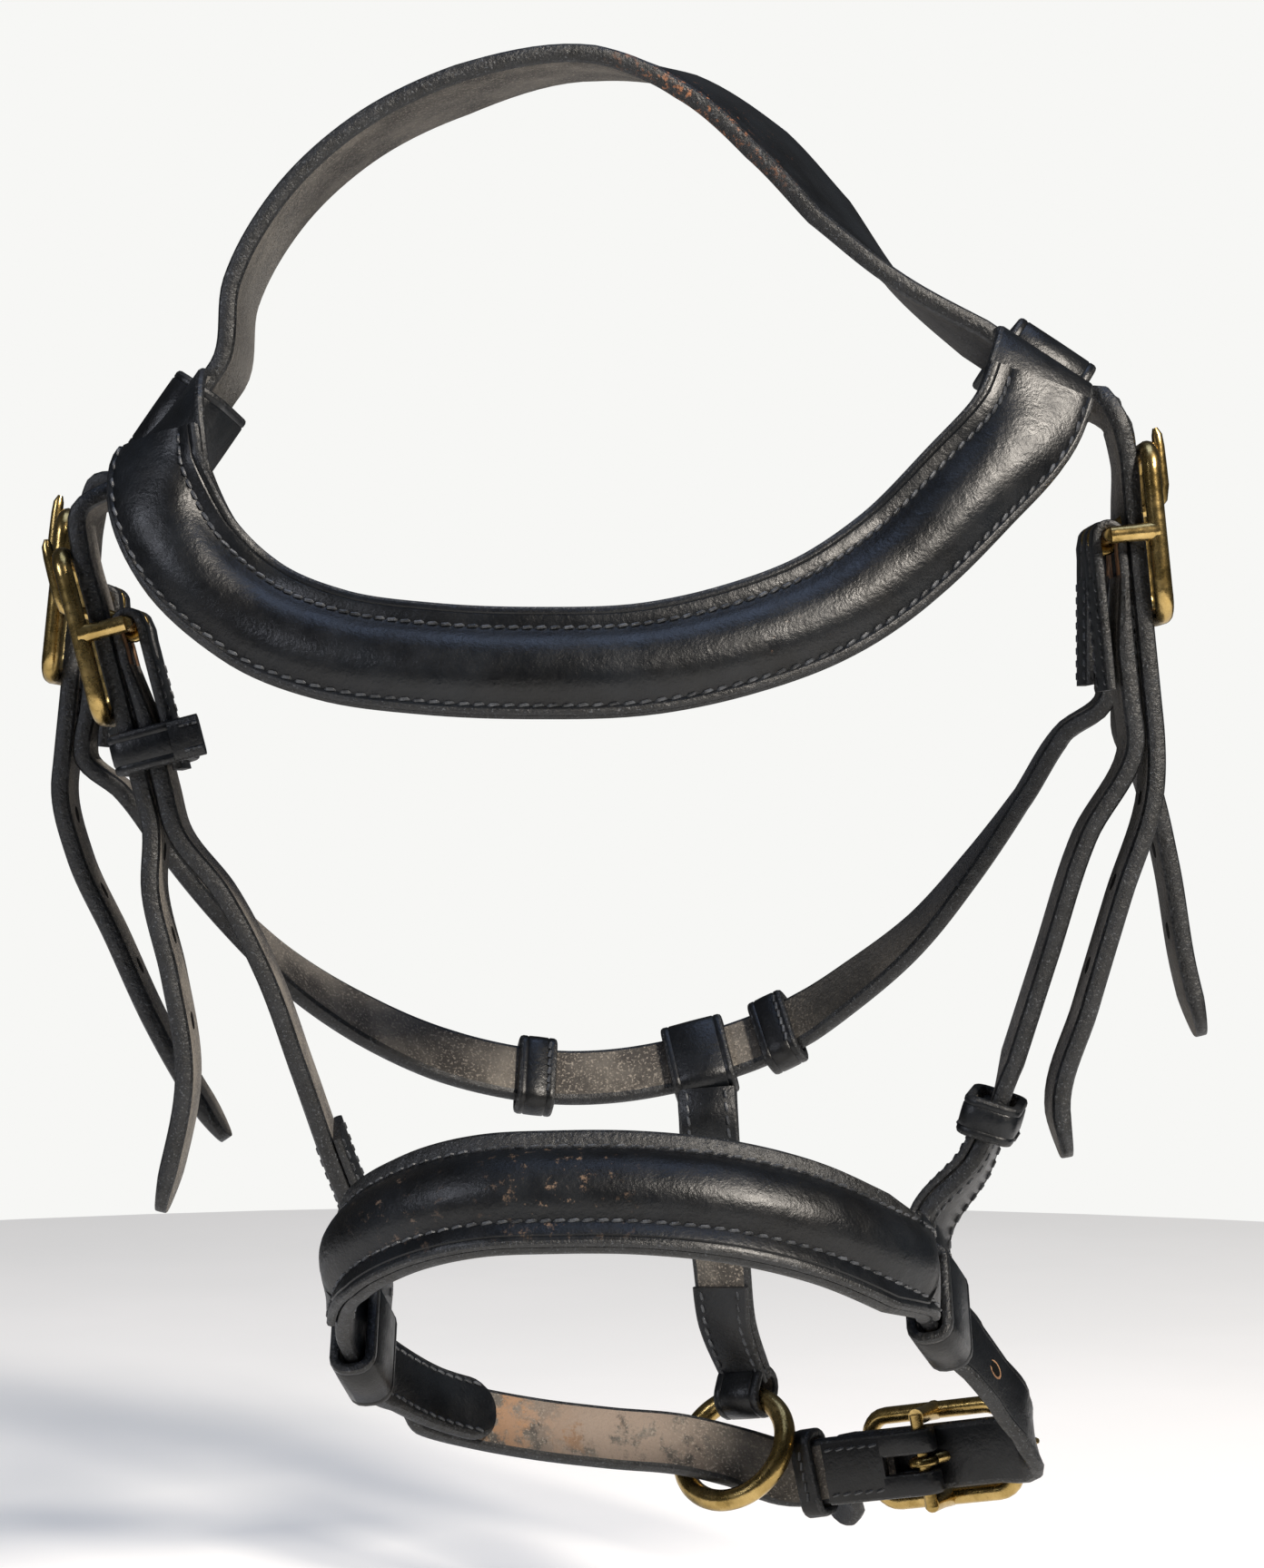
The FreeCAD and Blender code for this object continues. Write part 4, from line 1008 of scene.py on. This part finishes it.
studio = {
    "floor": -0.372, "radius": 0.9, "corners": 96,
    "room": "#f7f7f5", "soft": "#dfe4ea", "softLight": 0.07,
}
mesh = bmesh.new()
bmesh.ops.create_circle(
    mesh, cap_ends=True, segments=studio["corners"], radius=studio["radius"],
    matrix=Matrix.Translation((0, 0, studio["floor"])),
)
data = bpy.data.meshes.new("paleFloor")
mesh.to_mesh(data)
mesh.free()
made["pale_matt_card"] = material("pale_matt_card", {
    "dark": "#e4e4e2", "light": "#ecebe9", "patchScale": 3.0, "roughness": 0.9, "roughSpread": 0.03,
    "fineScale": 300.0, "fineBump": 0.05, "foldScale": 30.0, "foldBump": 0.02, "specular": 0.1, "glow": 0.3,
})
data.materials.append(made["pale_matt_card"])
paleFloor = bpy.data.objects.new("paleFloor", data)
bpy.context.scene.collection.objects.link(paleFloor)

lights = {
    "keyLight": {
        "place": (0.8, -0.95, 0.7), "aim": (0.0, 0.0, -0.16), "size": 0.2, "power": 40.0, "tint": "#fff6ea",
    },
    "skyLight": {
        "place": (0.1, 0.0, 1.15), "aim": (0.0, 0.0, -0.16), "size": 0.8, "power": 5.0, "tint": "#bcd3ff",
    },
    "rimLight": {
        "place": (-0.75, -0.55, 0.25), "aim": (0.0, 0.0, -0.18), "size": 0.3, "power": 3.0, "tint": "#eef2ff",
    },
}
shown = [paleFloor]
for name, look in lights.items():
    lamp = bpy.data.lights.new(name, "AREA")
    lamp.energy = look["power"]
    lamp.size = look["size"]
    lamp.color = srgb(look["tint"])[:3]
    item = bpy.data.objects.new(name, lamp)
    item.location = look["place"]
    item.rotation_euler = (vec(look["aim"]) - vec(look["place"])).to_track_quat("-Z", "Y").to_euler()
    bpy.context.scene.collection.objects.link(item)
    shown.append(item)
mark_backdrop(*shown)

# the room looks pale from everywhere, and only a little of it falls on the leather
world = bpy.data.worlds.new("paleRoom")
bpy.context.scene.world = world
world.use_nodes = True
tree = world.node_tree
tree.nodes.clear()
direct = add(tree, "ShaderNodeLightPath").outputs["Is Camera Ray"]
soft = add(tree, "ShaderNodeBackground", Color=srgb(studio["soft"]), Strength=studio["softLight"])
room = add(tree, "ShaderNodeBackground", Color=srgb(studio["room"]))
blend = add(tree, "ShaderNodeMixShader", i0=direct, i1=soft.outputs[0], i2=room.outputs[0])
add(tree, "ShaderNodeOutputWorld", Surface=blend.outputs[0])

lens = bpy.data.cameras.new("mainCamera")
lens.sensor_width = 36.0
lens.lens = 72.96
camera = bpy.data.objects.new("mainCamera", lens)
camera.location = (0.008, -0.708, -0.1585)
camera.rotation_euler = (math.radians(90), 0, 0)
bpy.context.scene.collection.objects.link(camera)
bpy.context.scene.camera = camera
bpy.context.scene.view_settings.view_transform = "Standard"
print("stage made")

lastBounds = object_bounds()
boxes = {"cad": firstBounds, "scene": lastBounds}
boxes = {name: [list(corner) for corner in box] for name, box in boxes.items()}
